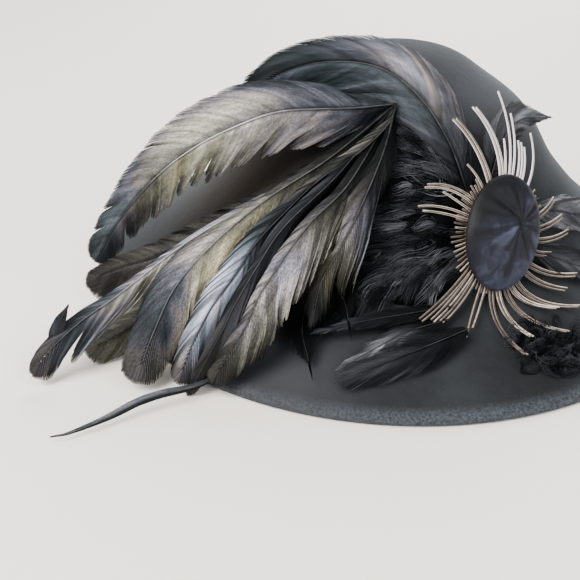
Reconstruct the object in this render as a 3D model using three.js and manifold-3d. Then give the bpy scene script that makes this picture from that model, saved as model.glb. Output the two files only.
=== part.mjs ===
// A wool felt hat with a bell crown, a down-turned brim and a feather trim. Millimetres, +Z up.
// The origin is the centre of the head opening, on the plane that the brim rests on.
// +X is the front of the hat. The trim sits on the -Y side and sweeps back towards -X.
import * as THREE from "three";
import { mergeVertices } from "three/addons/utils/BufferGeometryUtils.js";
import Module from "manifold-3d";

// Felt body
const feltWall = 2.8;
const rimHeight = 3.6;
const rimLand = 6;
const aroundSteps = 52;

// Outer felt from the top of the crown to the brim's edge: height and half widths along X and Y
const feltRows = [
  { height: 110, halfX: 0, halfY: 0 },
  { height: 108.5, halfX: 18, halfY: 15 },
  { height: 104, halfX: 31, halfY: 27 },
  { height: 96, halfX: 43, halfY: 39 },
  { height: 87, halfX: 56, halfY: 49.5 },
  { height: 79, halfX: 64.5, halfY: 57 },
  { height: 68, halfX: 71.5, halfY: 64 },
  { height: 58, halfX: 77.5, halfY: 69 },
  { height: 48, halfX: 86, halfY: 74 },
  { height: 38, halfX: 96, halfY: 80.5 },
  { height: 30, halfX: 106, halfY: 87.5 },
  { height: 22, halfX: 116.5, halfY: 98 },
  { height: 14, halfX: 129, halfY: 115 },
  { height: 8, halfX: 139.5, halfY: 134 },
  { height: 4.4, halfX: 145.5, halfY: 147 },
];

// Seats
const seatGap = 0.35;

// Medallion: an oval button, its plane turned out from the crown, its long axis leaning to the front
const padCentre = new THREE.Vector3(39, -79, 50);
const padFacing = new THREE.Vector3(0.43, -0.8, 0.42).normalize();
const padLean = 27;
const padHalfLong = 25.5;
const padHalfWide = 19.5;
const padHeight = 7.4;
const padSides = 32;

// Medallion from its back up the side and over the dome: share of the oval, and height above the back
const padRows = [
  { share: 0.97, height: 0 },
  { share: 1.03, height: 1.2 },
  { share: 1, height: 2.4 },
  { share: 0.85, height: 4.65 },
  { share: 0.6, height: 6.15 },
  { share: 0.3, height: 7.15 },
];

// Quills, and the plate under the medallion that they spring from
const quillDiameter = 1.4;
const quillSides = 5;
const quillStep = 20;
const quillBend = 0.55;
const twinGap = 1.8;
const plateThickness = 1.6;
const plateMiddle = -seatGap - plateThickness / 2;
const plateShare = 0.95;

// Long quills: place on the pad's edge in degrees from its top towards the front, tip, and how many
const quillRows = [
  { edge: -4, tip: [16, -67, 95], twins: 2 },
  { edge: 13, tip: [25, -60, 98], twins: 2 },
  { edge: 19, tip: [40, -59, 84], twins: 1 },
  { edge: 24, tip: [37, -51, 102], twins: 1 },
  { edge: 28, tip: [43, -53, 93], twins: 1 },
  { edge: 34, tip: [47, -56, 82], twins: 2 },
  { edge: 41, tip: [50, -56, 79], twins: 1 },
  { edge: 50, tip: [53, -52, 84], twins: 1 },
  { edge: -13, tip: [23, -71, 77], twins: 1 },
  { edge: -38, tip: [4, -84, 72], twins: 2 },
  { edge: -47, tip: [12, -81, 69], twins: 1 },
  { edge: -55, tip: [1, -89, 66], twins: 1 },
  { edge: -61, tip: [3, -89, 64], twins: 1 },
  { edge: -125, tip: [3, -110, 24], twins: 1 },
  { edge: -130, tip: [8, -109, 23], twins: 1 },
  { edge: -136, tip: [12, -108, 22], twins: 1 },
  { edge: -144, tip: [21, -114, 19], twins: 1 },
  { edge: -150, tip: [24, -110, 21], twins: 1 },
  { edge: -159, tip: [45, -121, 15], twins: 1 },
  { edge: -167, tip: [49, -112, 18], twins: 1 },
  { edge: -176, tip: [65, -108, 18], twins: 1 },
  { edge: 177, tip: [63, -97, 23], twins: 1 },
  { edge: 168, tip: [74, -92, 21], twins: 1 },
  { edge: 152, tip: [69, -86, 26], twins: 1 },
  { edge: 141, tip: [75, -78, 29], twins: 1 },
  { edge: 125, tip: [70, -69, 36], twins: 2 },
  { edge: 110, tip: [73, -63, 43], twins: 1 },
  { edge: 96, tip: [70, -60, 49], twins: 1 },
  { edge: 82, tip: [66, -57, 56], twins: 1 },
];

// Clipped stubs between the long quills: where a row of them starts and ends on the pad's edge
const stubRows = [
  { from: -24, to: -33, count: 2, length: 5 },
  { from: -68, to: -120, count: 9, length: 6.5 },
  { from: 62, to: 76, count: 3, length: 5 },
];

// Feathers: half widths of the vane above and below the shaft, how far the vane turns about its shaft
// in degrees at the root and at the tip, and points along the shaft
const sprayRoot = [-5, -47, 95];
const sprayFacing = new THREE.Vector3(-55, -400, 205);
const bindingRadius = 6;
const sprayRows = [
  // Over the top of the crown
  { up: 9, low: 14, turn: [10, -10],
    shaft: [[20, -66, 68], [13, -57, 86], [-4, -42, 103], [-34, -33, 109], [-66, -40, 99]] },
  // Wide feathers round the back of the crown
  { up: 17, low: 18, turn: [0, 10],
    shaft: [sprayRoot, [-40, -54, 96], [-73, -56, 89], [-111, -55, 64], [-141, -53, 23]] },
  { up: 17, low: 11, turn: [0, 5],
    shaft: [sprayRoot, [-34, -60, 75], [-87, -62, 41], [-131, -57, 20], [-144, -54, 15]] },
  { up: 9, low: 9, turn: [0, 15],
    shaft: [sprayRoot, [-34, -68, 69], [-90, -83, 31], [-111, -92, 18], [-137, -104, 8]] },
  // Long feathers down over the brim
  { up: 6, low: 13, turn: [-20, 0],
    shaft: [sprayRoot, [-28, -62, 81], [-76, -77, 56], [-123, -97, 29], [-156, -121, 6]] },
  { up: 8, low: 14, turn: [-30, 0],
    shaft: [sprayRoot, [-34, -68, 79], [-83, -88, 49], [-106, -113, 22], [-111, -124, 8]] },
  { up: 5, low: 8, turn: [-60, 10],
    shaft: [sprayRoot, [-22, -68, 81], [-51, -86, 64], [-83, -114, 32], [-95, -126, 9]] },
  { up: 5, low: 5, turn: [-30, 0],
    shaft: [sprayRoot, [-30, -76, 76], [-54, -94, 60], [-77, -116, 36], [-86, -125, 16]] },
  { up: 9, low: 14, turn: [-20, 0],
    shaft: [sprayRoot, [-26, -79, 72], [-57, -106, 45], [-68, -119, 29], [-81, -129, 10]] },
  { up: 11, low: 13, turn: [-20, -10],
    shaft: [sprayRoot, [-12, -69, 83], [-21, -85, 66], [-37, -103, 41], [-41, -111, 26]] },
  // Bare quill that trails out behind the brim
  { up: 1.5, low: 1.5, turn: [0, 0],
    shaft: [sprayRoot, [-52, -104, 50], [-83, -131, 13], [-118, -146, 7], [-142, -158, 4]] },
];

// Black feather that lies on the brim, facing up, and the lump of down at its root
const brimFacing = new THREE.Vector3(-10, -260, 300);
const brimRoot = new THREE.Vector3(18, -108, 21);
const brimRootHalf = new THREE.Vector3(6, 5, 4);
const brimRow = {
  up: 8, low: 9, turn: [0, 0],
  shaft: [[22, -111, 21], [6, -118, 18], [-9, -125, 16], [-25, -131, 13]],
};

// Black feathers on the front side of the pad
const frontFacing = new THREE.Vector3(260, -300, 200);
const frontRows = [
  { up: 8, low: 8, turn: [0, 0], shaft: [[46, -62, 52], [68, -56, 49], [86, -46, 42], [99, -33, 38]] },
  { up: 7, low: 8, turn: [0, 0], shaft: [[46, -70, 42], [72, -74, 32], [92, -70, 25], [108, -60, 21]] },
  { up: 2.5, low: 4, turn: [0, 0], shaft: [[36, -62, 66], [47, -50, 87], [55, -46, 95], [66, -41, 89]] },
];

// Cross-section of every feather, and where along the shaft its vane has swelled and starts to round off
const featherSteps = 8;
const featherShaft = 1.6;
const featherEdge = 0.7;
const featherCamber = 0.18;
const stemEnd = 0.02;
const swellEnd = 0.42;
const tipStart = 0.72;

// Hackle pad: a flat oval of short black feathers on the crown, with locks that point down and back
const hackleCentre = { x: 0, height: 50 };
const hackleHalf = { x: 34, height: 27 };
const hackleThickness = 4.5;
const hackleInside = 20;
const hackleSides = 28;

// Locks: heights above the felt at the root, half way and at the tip, half thickness and places of the rings
const lockLifts = [2, 5, 2.5];
const lockHalfThick = 1.6;
const lockPlaces = [0, 0.35, 0.7, 1];
const lockRows = [
  { from: [10, 66], to: [-24, 74], width: 6 },
  { from: [10, 60], to: [-30, 60], width: 7 },
  { from: [10, 54], to: [-37, 50], width: 7 },
  { from: [10, 50], to: [-42, 40], width: 8 },
  { from: [8, 44], to: [-44, 31], width: 8 },
  { from: [4, 42], to: [-38, 24], width: 8 },
  { from: [-6, 38], to: [-56, 16.5], width: 7 },
  { from: [-8, 36], to: [-47, 12.5], width: 6 },
  { from: [-4, 36], to: [-40, 12], width: 6 },
  { from: [0, 38], to: [-34, 14], width: 7 },
  { from: [8, 38], to: [-24, 19], width: 8 },
  { from: [14, 38], to: [-12, 20], width: 8 },
  { from: [20, 36], to: [0, 20], width: 7 },
];

// Curled tuft of down on the brim, at the front of the trim
const tuftCentre = new THREE.Vector3(58, -112, 17);
const tuftHalf = new THREE.Vector3(13, 15, 4.5);
const tuftLocks = 9;
const tuftLockLength = 22;
const tuftLockRadius = 3;
const tuftDroop = 0.1;

const finishes = {
  felt: new THREE.MeshStandardMaterial({ color: 0x24262a, roughness: 0.95, metalness: 0 }),
  plume: new THREE.MeshStandardMaterial({ color: 0x3c3a34, roughness: 0.45, metalness: 0.2 }),
  hackle: new THREE.MeshStandardMaterial({ color: 0x0d0f12, roughness: 0.7, metalness: 0 }),
  pad: new THREE.MeshStandardMaterial({ color: 0x1a1c28, roughness: 0.8, metalness: 0 }),
  quill: new THREE.MeshStandardMaterial({ color: 0xb9a58c, roughness: 0.5, metalness: 0 }),
};

const wasm = await Module();
wasm.setup();

// A closed mesh as a solid: shared corners are merged and faces without area are dropped
function solidFrom(geometry) {
  const bare = geometry.clone();
  bare.deleteAttribute("normal");
  bare.deleteAttribute("uv");
  const merged = mergeVertices(bare, 1e-4);
  const corners = [];
  const index = merged.index.array;
  for (let i = 0; i < index.length; i += 3) {
    const [a, b, c] = [index[i], index[i + 1], index[i + 2]];
    if (a !== b && b !== c && c !== a) corners.push(a, b, c);
  }
  return new wasm.Manifold(
    new wasm.Mesh({
      numProp: 3,
      vertProperties: merged.attributes.position.array,
      triVerts: new Uint32Array(corners),
    }),
  );
}

function geometryFrom(solid) {
  const mesh = solid.getMesh();
  const geometry = new THREE.BufferGeometry();
  geometry.setAttribute("position", new THREE.BufferAttribute(mesh.vertProperties, 3));
  geometry.setIndex(new THREE.BufferAttribute(mesh.triVerts, 1));
  geometry.computeVertexNormals();
  return geometry;
}

function fused(solids) {
  return solids.reduce((whole, next) => whole.add(next));
}

function without(solid, others) {
  return others.reduce((rest, other) => rest.subtract(other), solid);
}

// The largest body of a solid, without the crumbs that a cut leaves
function mainBody(solid) {
  return solid.decompose().reduce((best, next) => (next.volume() > best.volume() ? next : best));
}

// A closed skin over rings of equal size that run the same way round, with an optional pole at each end
function skin(rings, firstPole, lastPole) {
  const count = rings[0].length;
  const centreOf = (ring) => ring.reduce((sum, p) => sum.add(p), new THREE.Vector3()).divideScalar(count);
  const lastRing = (rings.length - 1) * count;
  const points = rings.flat();
  const first = points.push(firstPole ?? centreOf(rings[0])) - 1;
  const last = points.push(lastPole ?? centreOf(rings[rings.length - 1])) - 1;
  const index = [];
  for (let i = 0; i < count; i++) {
    const next = (i + 1) % count;
    for (let row = 0; row < lastRing; row += count) {
      index.push(row + i, row + count + next, row + next, row + i, row + count + i, row + count + next);
    }
    index.push(first, i, next, last, lastRing + next, lastRing + i);
  }
  return new THREE.BufferGeometry().setFromPoints(points).setIndex(index);
}

const feltProfile = new THREE.CatmullRomCurve3(
  feltRows.map((row) => new THREE.Vector3(row.halfX, row.halfY, row.height)),
);
const brimEdge = feltRows[feltRows.length - 1];
const crownTop = feltRows[0].height;

// A point on the felt's outer face, moved out by lift: down runs from 0 at the top to 1 at the brim's edge
function onFelt(down, angle, lift) {
  const row = feltProfile.getPoint(down);
  const slope = feltProfile.getTangent(down);
  const cos = Math.cos(angle);
  const sin = Math.sin(angle);
  const normal = new THREE.Vector3(cos / row.x, sin / row.y, 0).normalize().multiplyScalar(-slope.z);
  normal.z = Math.hypot(slope.x * cos, slope.y * sin);
  return new THREE.Vector3(row.x * cos, row.y * sin, row.z).addScaledVector(normal.normalize(), lift);
}

// The same on the trim side, by place: x along the hat and height above the rest plane
function onTrimSide([x, height], lift) {
  let above = 0;
  let below = 1;
  for (let halving = 0; halving < 20; halving++) {
    const middle = (above + below) / 2;
    if (feltProfile.getPoint(middle).z > height) above = middle;
    else below = middle;
  }
  return onFelt(above, -Math.acos(x / feltProfile.getPoint(above).x), lift);
}

function ringAround(pointAt, steps = aroundSteps) {
  return Array.from({ length: steps }, (_, i) => pointAt((2 * Math.PI * i) / steps));
}

// An oval ring parallel to the rest plane, wider than the felt's edge by the given amount
function edgeRing(wider, height) {
  const halfX = brimEdge.halfX + wider;
  const halfY = brimEdge.halfY + wider;
  return ringAround((angle) => new THREE.Vector3(halfX * Math.cos(angle), halfY * Math.sin(angle), height));
}

// Rings over the outer face, from just under the top to the brim
function faceRings(lift) {
  const last = feltRows.length - 1;
  return feltRows.slice(1).map((_, i) => ringAround((angle) => onFelt((i + 1) / last, angle, lift)));
}

// Crown and brim are one blocked shell with a turned edge that is flat underneath
function makeFelt() {
  const edge = [
    edgeRing(1.5, rimHeight - 0.6),
    edgeRing(1.9, rimHeight / 2),
    edgeRing(1.4, 0.5),
    edgeRing(0.6, 0),
    edgeRing(0.6 - rimLand, 0),
    edgeRing(-rimLand, 1.2),
  ];
  const inner = faceRings(-feltWall).slice(0, -1).reverse();
  const shell = skin(
    [...faceRings(0), ...edge, ...inner],
    new THREE.Vector3(0, 0, crownTop),
    new THREE.Vector3(0, 0, crownTop - feltWall),
  );
  return solidFrom(shell);
}

// A filled bell, larger than the felt all over, that cuts the trim clear of it
function bell(grow) {
  const rings = [...faceRings(grow), edgeRing(2 + grow, rimHeight), edgeRing(2 + grow, -crownTop)];
  return solidFrom(skin(rings, new THREE.Vector3(0, 0, crownTop + grow)));
}

function asVector([x, y, z]) {
  return new THREE.Vector3(x, y, z);
}

// How much of its full width a vane has along the shaft: a bare stem, a quick swell and a round tip
function vaneSpread(along) {
  const swell = THREE.MathUtils.smoothstep(along, stemEnd, swellEnd);
  const pastStart = Math.max(along - tipStart, 0) / (1 - tipStart);
  return swell * Math.sqrt(1 - pastStart ** 2);
}

// One feather as a thin strip, ridged along its shaft, its edges falling away from the side it faces
function feather(row, facing, grow = 0) {
  const shaft = new THREE.CatmullRomCurve3(row.shaft.map(asVector));
  const rings = [];
  for (let step = 0; step <= featherSteps; step++) {
    const along = step / featherSteps;
    const centre = shaft.getPointAt(along);
    const tangent = shaft.getTangentAt(along);
    const turn = THREE.MathUtils.degToRad(THREE.MathUtils.lerp(row.turn[0], row.turn[1], along));
    const face = facing.clone().sub(centre).projectOnPlane(tangent).normalize();
    face.applyAxisAngle(tangent, turn);
    const side = face.clone().cross(tangent);
    const point = (across, out) => centre.clone().addScaledVector(side, across).addScaledVector(face, out);
    const low = featherShaft / 2 + row.low * vaneSpread(along) + grow;
    const up = featherShaft / 2 + row.up * vaneSpread(along) + grow;
    const ridge = featherShaft / 2 + grow;
    const edge = featherEdge / 2 + grow;
    rings.push([
      point(0, ridge),
      point(low, edge - featherCamber * low),
      point(low, -edge - featherCamber * low),
      point(0, -ridge),
      point(-up, -edge - featherCamber * up),
      point(-up, edge - featherCamber * up),
    ]);
  }
  return solidFrom(skin(rings));
}

function ball(centre, half) {
  const geometry = new THREE.SphereGeometry(1, 12, 8);
  geometry.scale(half.x, half.y, half.z).translate(centre.x, centre.y, centre.z);
  return solidFrom(geometry);
}

// Large curved feathers that spring from one binding near the top of the crown
function makeSpray(grow) {
  const feathers = sprayRows.map((row) => feather(row, sprayFacing, grow));
  const binding = ball(asVector(sprayRoot), new THREE.Vector3().setScalar(bindingRadius + grow));
  return mainBody(without(fused([...feathers, binding]), [bell(seatGap)]));
}

const padUp = new THREE.Vector3(0, 0, 1).projectOnPlane(padFacing).normalize();
const padRight = padUp.clone().cross(padFacing);

// The direction from the pad's centre at an angle from its top towards the front
function padSpoke(angle) {
  return padUp.clone().multiplyScalar(Math.cos(angle)).addScaledVector(padRight, Math.sin(angle));
}

// A point at a share of the pad's oval and a height out of its plane
function onPad(angle, share, out) {
  const fromLong = angle - THREE.MathUtils.degToRad(padLean);
  const reach = 1 / Math.hypot(Math.cos(fromLong) / padHalfLong, Math.sin(fromLong) / padHalfWide);
  return padCentre.clone().addScaledVector(padSpoke(angle), reach * share).addScaledVector(padFacing, out);
}

function padRing(share, out) {
  return ringAround((angle) => onPad(angle, share, out), padSides);
}

// The medallion is a covered oval button: a flat back, a rounded edge and a low dome
function makeMedallion(grow) {
  const wider = 1 + grow / padHalfWide;
  const taller = (height) => height + grow * ((2 * height) / padHeight - 1);
  const rings = padRows.map((row) => padRing(row.share * wider, taller(row.height)));
  return solidFrom(skin(rings, onPad(0, 0, taller(0)), onPad(0, 0, taller(padHeight))));
}

// One quill: it leaves the pad's edge along the pad's plane and bends to its tip
function quill(angle, tip, sideways, grow) {
  const start = onPad(angle, 0.9 * plateShare, plateMiddle);
  const along = padSpoke(angle);
  const length = start.distanceTo(tip);
  const bend = start.clone().addScaledVector(along, quillBend * length);
  const shift = along.cross(padFacing).multiplyScalar(sideways);
  const path = new THREE.QuadraticBezierCurve3(start.add(shift), bend.add(shift), tip.clone().add(shift));
  const radius = quillDiameter / 2 + grow;
  const corner = (turn) => new THREE.Vector2(radius * Math.cos(turn), radius * Math.sin(turn));
  const steps = Math.ceil(length / quillStep);
  const settings = { steps, bevelEnabled: false, extrudePath: path };
  return solidFrom(new THREE.ExtrudeGeometry(new THREE.Shape(ringAround(corner, quillSides)), settings));
}

// Long quills and clipped stubs in one fan, fused to the thin plate under the medallion
function makeQuills(grow, clearOf) {
  const half = plateThickness / 2 + grow;
  const plateRings = [padRing(plateShare, plateMiddle - half), padRing(plateShare, plateMiddle + half)];
  const parts = [solidFrom(skin(plateRings))];
  for (const row of quillRows) {
    for (let twin = 0; twin < row.twins; twin++) {
      parts.push(quill(THREE.MathUtils.degToRad(row.edge), asVector(row.tip), twin * twinGap, grow));
    }
  }
  for (const row of stubRows) {
    for (let i = 0; i < row.count; i++) {
      const angle = THREE.MathUtils.degToRad(THREE.MathUtils.lerp(row.from, row.to, i / (row.count - 1)));
      const tip = onPad(angle, 1, plateMiddle).addScaledVector(padSpoke(angle), row.length);
      parts.push(quill(angle, tip, 0, grow));
    }
  }
  return mainBody(without(fused(parts), clearOf));
}

// One lock of short black feathers, flat against the felt and running to a point
function lock(row) {
  const middle = row.from.map((value, i) => (value + row.to[i]) / 2);
  const path = new THREE.CatmullRomCurve3(
    [row.from, middle, row.to].map((place, i) => onTrimSide(place, lockLifts[i])),
  );
  const rings = lockPlaces.map((along) => {
    const centre = path.getPointAt(along);
    const tangent = path.getTangentAt(along);
    const outwards = new THREE.Vector3(centre.x, centre.y, hackleCentre.height);
    const face = outwards.projectOnPlane(tangent).normalize();
    const side = face.clone().cross(tangent);
    const taper = Math.max(1 - along ** 1.5, 0.1);
    const point = (across, out) =>
      centre.clone().addScaledVector(side, across * taper).addScaledVector(face, out * taper);
    const half = row.width / 2;
    return [point(0, lockHalfThick), point(half, 0), point(0, -lockHalfThick), point(-half, 0)];
  });
  return solidFrom(skin(rings));
}

// The layer of hackle that hugs the crown: an oval column through the felt, cut to a bell of its thickness
function hackleLayer() {
  const outline = (y) => (angle) =>
    new THREE.Vector3(
      hackleCentre.x + hackleHalf.x * Math.cos(angle),
      y,
      hackleCentre.height + hackleHalf.height * Math.sin(angle),
    );
  const ends = [-1.5 * brimEdge.halfY, -hackleInside];
  const column = solidFrom(skin(ends.map((y) => ringAround(outline(y), hackleSides))));
  return column.intersect(bell(seatGap + hackleThickness));
}

// The pad of black hackle: its layer, a seat under the medallion, locks and the front feathers
function makeHackle(clearOf) {
  const seatTop = plateMiddle - plateThickness / 2 - seatGap;
  const seat = solidFrom(skin([padRing(0.8, seatTop - padHalfLong), padRing(0.8, seatTop)]));
  const locks = lockRows.map(lock);
  const front = frontRows.map((row) => feather(row, frontFacing));
  return mainBody(without(fused([hackleLayer(), seat, ...locks, ...front]), clearOf));
}

function makeBrimFeather(clearOf) {
  const parts = [ball(brimRoot, brimRootHalf), feather(brimRow, brimFacing)];
  return mainBody(without(fused(parts), clearOf));
}

// One short pointed lock of the tuft, out from its centre at an angle round it
function tuftLock(angle) {
  const along = new THREE.Vector3(Math.cos(angle), Math.sin(angle), -tuftDroop).normalize();
  const geometry = new THREE.ConeGeometry(tuftLockRadius, tuftLockLength, 5);
  geometry.translate(0, tuftLockLength / 2, 0);
  geometry.applyQuaternion(new THREE.Quaternion().setFromUnitVectors(new THREE.Vector3(0, 1, 0), along));
  geometry.translate(tuftCentre.x, tuftCentre.y, tuftCentre.z);
  return solidFrom(geometry);
}

function makeTuft(clearOf) {
  const parts = [ball(tuftCentre, tuftHalf), ...ringAround(tuftLock, tuftLocks)];
  return mainBody(without(fused(parts), clearOf));
}

function named(name, solid, material) {
  const mesh = new THREE.Mesh(geometryFrom(solid), material);
  mesh.name = name;
  return mesh;
}

// Room that a piece keeps clear of its neighbours
const feltRoom = bell(seatGap);
const sprayRoom = makeSpray(seatGap);
const padRoom = makeMedallion(seatGap);
const quillRoom = makeQuills(seatGap, [feltRoom]);

const hat = new THREE.Group();
hat.add(named("felt_body", makeFelt(), finishes.felt));
hat.add(named("coque_spray", makeSpray(0), finishes.plume));
hat.add(named("medallion", makeMedallion(0), finishes.pad));
hat.add(named("quill_ring", makeQuills(0, [feltRoom, sprayRoom, padRoom]), finishes.quill));
hat.add(named("hackle_pad", makeHackle([feltRoom, sprayRoom, quillRoom, padRoom]), finishes.hackle));
hat.add(named("brim_feather", makeBrimFeather([feltRoom, sprayRoom, quillRoom]), finishes.hackle));
hat.add(named("side_tuft", makeTuft([feltRoom, quillRoom]), finishes.hackle));

export default hat;
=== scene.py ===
import math

import bpy
import numpy as np
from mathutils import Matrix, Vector


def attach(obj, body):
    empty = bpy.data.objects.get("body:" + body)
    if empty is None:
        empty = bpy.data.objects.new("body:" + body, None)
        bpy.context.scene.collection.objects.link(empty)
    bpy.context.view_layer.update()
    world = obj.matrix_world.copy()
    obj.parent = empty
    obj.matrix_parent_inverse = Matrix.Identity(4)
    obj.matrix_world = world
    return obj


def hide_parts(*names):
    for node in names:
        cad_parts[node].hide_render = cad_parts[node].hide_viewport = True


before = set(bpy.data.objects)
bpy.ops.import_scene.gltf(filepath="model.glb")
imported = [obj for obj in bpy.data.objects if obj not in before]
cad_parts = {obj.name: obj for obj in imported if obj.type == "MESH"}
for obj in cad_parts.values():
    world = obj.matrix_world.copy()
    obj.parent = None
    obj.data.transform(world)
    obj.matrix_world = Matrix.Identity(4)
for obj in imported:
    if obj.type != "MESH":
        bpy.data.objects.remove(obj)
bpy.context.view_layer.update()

# Wool felt hat with a feather trim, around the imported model. Tables are in millimetres.
bpy.ops.object.select_all(action="DESELECT")
draw = np.random.default_rng(1907)
mm = 0.001


# Small helpers for materials
def newMaterial(name, **fixed):
    material = bpy.data.materials.new(name)
    material.use_nodes = True
    tree = material.node_tree
    shader = tree.nodes["Principled BSDF"]
    for socket, value in fixed.items():
        shader.inputs[socket.replace("_", " ")].default_value = value
    return material, tree, shader


# A socket takes a link from another node's output, or a plain value
def feed(tree, socket, value):
    if isinstance(value, bpy.types.NodeSocket):
        tree.links.new(value, socket)
    else:
        socket.default_value = value


def addNode(tree, kind, settings=None, **sockets):
    node = tree.nodes.new(kind)
    for key, value in (settings or {}).items():
        setattr(node, key, value)
    for socket, value in sockets.items():
        feed(tree, node.inputs[socket.replace("_", " ")], value)
    return node


def addMath(tree, operation, *values, kind="ShaderNodeMath"):
    node = addNode(tree, kind, {"operation": operation})
    for socket, value in zip(node.inputs, values):
        feed(tree, socket, value)
    return node.outputs[0]


def addNoise(tree, place, **values):
    return addNode(tree, "ShaderNodeTexNoise", Vector=place, **values)


def addRamp(tree, value, stops):
    ramp = addNode(tree, "ShaderNodeValToRGB", Fac=value)
    elements = ramp.color_ramp.elements
    while len(elements) < len(stops):
        elements.new(0.5)
    for element, (place, colour) in zip(elements, stops):
        element.position = place
        element.color = (*colour, 1)
    return ramp.outputs["Color"]


def addMix(tree, share, under, over):
    mix = addNode(tree, "ShaderNodeMix", {"data_type": "RGBA"}, Factor=share, A=under, B=over)
    return mix.outputs["Result"]


def addBump(tree, height, strength, distance, **under):
    bump = addNode(tree, "ShaderNodeBump", Height=height, Strength=strength, Distance=distance, **under)
    return bump.outputs["Normal"]


def readAttribute(tree, name):
    return addNode(tree, "ShaderNodeAttribute", {"attribute_name": name}).outputs["Fac"]


def readPlace(tree):
    return addNode(tree, "ShaderNodeTexCoord").outputs["Object"]


def grey(value):
    return (value, value, value)


# Camera, lights and floor
viewSet = {
    "cameraAt": (-51.0, -404.6, 209.0),
    "tiltDown": 30.0,
    "lens": 52.76,
    "lights": [
        # name, place in metres, size, watts, colour
        ("keyLight", (-0.75, -0.65, 1.15), 1.1, 34.0, (1.0, 0.97, 0.93)),
        ("fillLight", (0.9, -1.0, 0.8), 1.4, 12.0, (0.93, 0.96, 1.0)),
        ("backLight", (0.25, 1.1, 0.9), 1.0, 19.0, (0.95, 0.97, 1.0)),
    ],
    "lightsAimAt": (0, -0.02, 0.05),
    "world": (0.88, 0.87, 0.86),
    "worldStrength": 0.58,
    "look": "AgX - Medium High Contrast",
    "floorSize": 8.0,
    "floorColour": (0.80, 0.76, 0.70),
    "floorRoughness": 0.75,
}


def makeCamera(scene):
    cameraData = bpy.data.cameras.new("photoCamera")
    cameraData.lens = viewSet["lens"]
    camera = bpy.data.objects.new("photoCamera", cameraData)
    camera.location = Vector(viewSet["cameraAt"]) * mm
    camera.rotation_euler = (math.radians(90 - viewSet["tiltDown"]), 0, 0)
    scene.collection.objects.link(camera)
    scene.camera = camera


def makeLights(scene):
    for name, place, size, watts, colour in viewSet["lights"]:
        data = bpy.data.lights.new(name, "AREA")
        data.shape = "DISK"
        data.size = size
        data.energy = watts
        data.color = colour
        light = bpy.data.objects.new(name, data)
        scene.collection.objects.link(light)
        light.location = place
        aim = Vector(viewSet["lightsAimAt"]) - Vector(place)
        light.rotation_euler = aim.to_track_quat("-Z", "Y").to_euler()
    world = bpy.data.worlds.new("studio")
    scene.world = world
    world.use_nodes = True
    background = world.node_tree.nodes["Background"]
    background.inputs["Color"].default_value = (*viewSet["world"], 1)
    background.inputs["Strength"].default_value = viewSet["worldStrength"]
    scene.view_settings.look = viewSet["look"]


def makeStage():
    makeCamera(bpy.context.scene)
    makeLights(bpy.context.scene)
    bpy.ops.mesh.primitive_plane_add(size=viewSet["floorSize"])
    floor = bpy.context.object
    floor.name = "floor"
    material, *_ = newMaterial("paleFloor", Base_Color=(*viewSet["floorColour"], 1),
                               Roughness=viewSet["floorRoughness"])
    floor.data.materials.append(material)
    floor.select_set(False)
    print("stage: camera, lights and floor")


# Felt: charcoal wool with short fibres and faint clouds of lighter wear, its turned edge paler with a painted
# highlight
feltFinish = {
    "clouds": [(0.32, (0.013, 0.0145, 0.016)), (0.68, (0.028, 0.031, 0.034))],
    "fleck": (0.09, 0.10, 0.11), "flecks": [(0.64, grey(0)), (0.76, grey(0.6))],
    "edgeHighlightColour": (0.072, 0.082, 0.095), "edgeHighlightFibres": [(0.36, grey(0.15)), (0.62, grey(1))],
    "highlightFrom": 0.988, "highlightOver": 0.014,     # shares of the brim's half widths
    "highlightWhereResting": 0.4, "underBelow": 0.2,     # share of the edge's painted highlight left where it rests, up to this height
    # colour of each painted light, then its places, each with its reach and strength
    # painted warm bounce light in the shade under the spray
    "paintedBounce": (0.038, 0.030, 0.024), "paintedBouncePlaces": [((-70, -42, 46), 42, 1.0)],
    # painted light that lifts the brim in the spray's shadow and brightens the crown's right side
    "paintedLight": (0.060, 0.063, 0.071), "paintedLightPlaces": [((-50, -126, 13), 26, 0.68), ((32, -34, 91), 30, 0.7)],
}


def makeFeltMaterial():
    material, tree, shader = newMaterial("woolFelt", Roughness=0.92, Specular_IOR_Level=0.25,
                                         Sheen_Weight=0.16, Sheen_Roughness=0.45,
                                         Sheen_Tint=(0.75, 0.80, 0.86, 1))
    place = readPlace(tree)
    cloud = addNoise(tree, place, Scale=28, Detail=6, Roughness=0.6).outputs["Fac"]
    fibre = addNoise(tree, place, Scale=900, Detail=4, Roughness=0.7).outputs["Fac"]
    grain = addNoise(tree, place, Scale=320, Detail=5, Roughness=0.65).outputs["Fac"]
    # painted highlight along the turned edge, broken up by the fibres
    edgeLit = addMath(tree, "MULTIPLY", readAttribute(tree, "edgeHighlight"), addRamp(tree, fibre, feltFinish["edgeHighlightFibres"]))
    colour = addRamp(tree, cloud, feltFinish["clouds"])
    for share, tint in ((addRamp(tree, fibre, feltFinish["flecks"]), "fleck"), (edgeLit, "edgeHighlightColour"),
                        (readAttribute(tree, "bounceLightShare"), "paintedBounce"), (readAttribute(tree, "paintedLightShare"), "paintedLight")):
        colour = addMix(tree, share, colour, (*feltFinish[tint], 1))
    feed(tree, shader.inputs["Base Color"], colour)
    coarse = addBump(tree, grain, strength=0.35, distance=0.0006)
    feed(tree, shader.inputs["Normal"], addBump(tree, fibre, strength=0.5, distance=0.0002, Normal=coarse))
    return material
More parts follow.
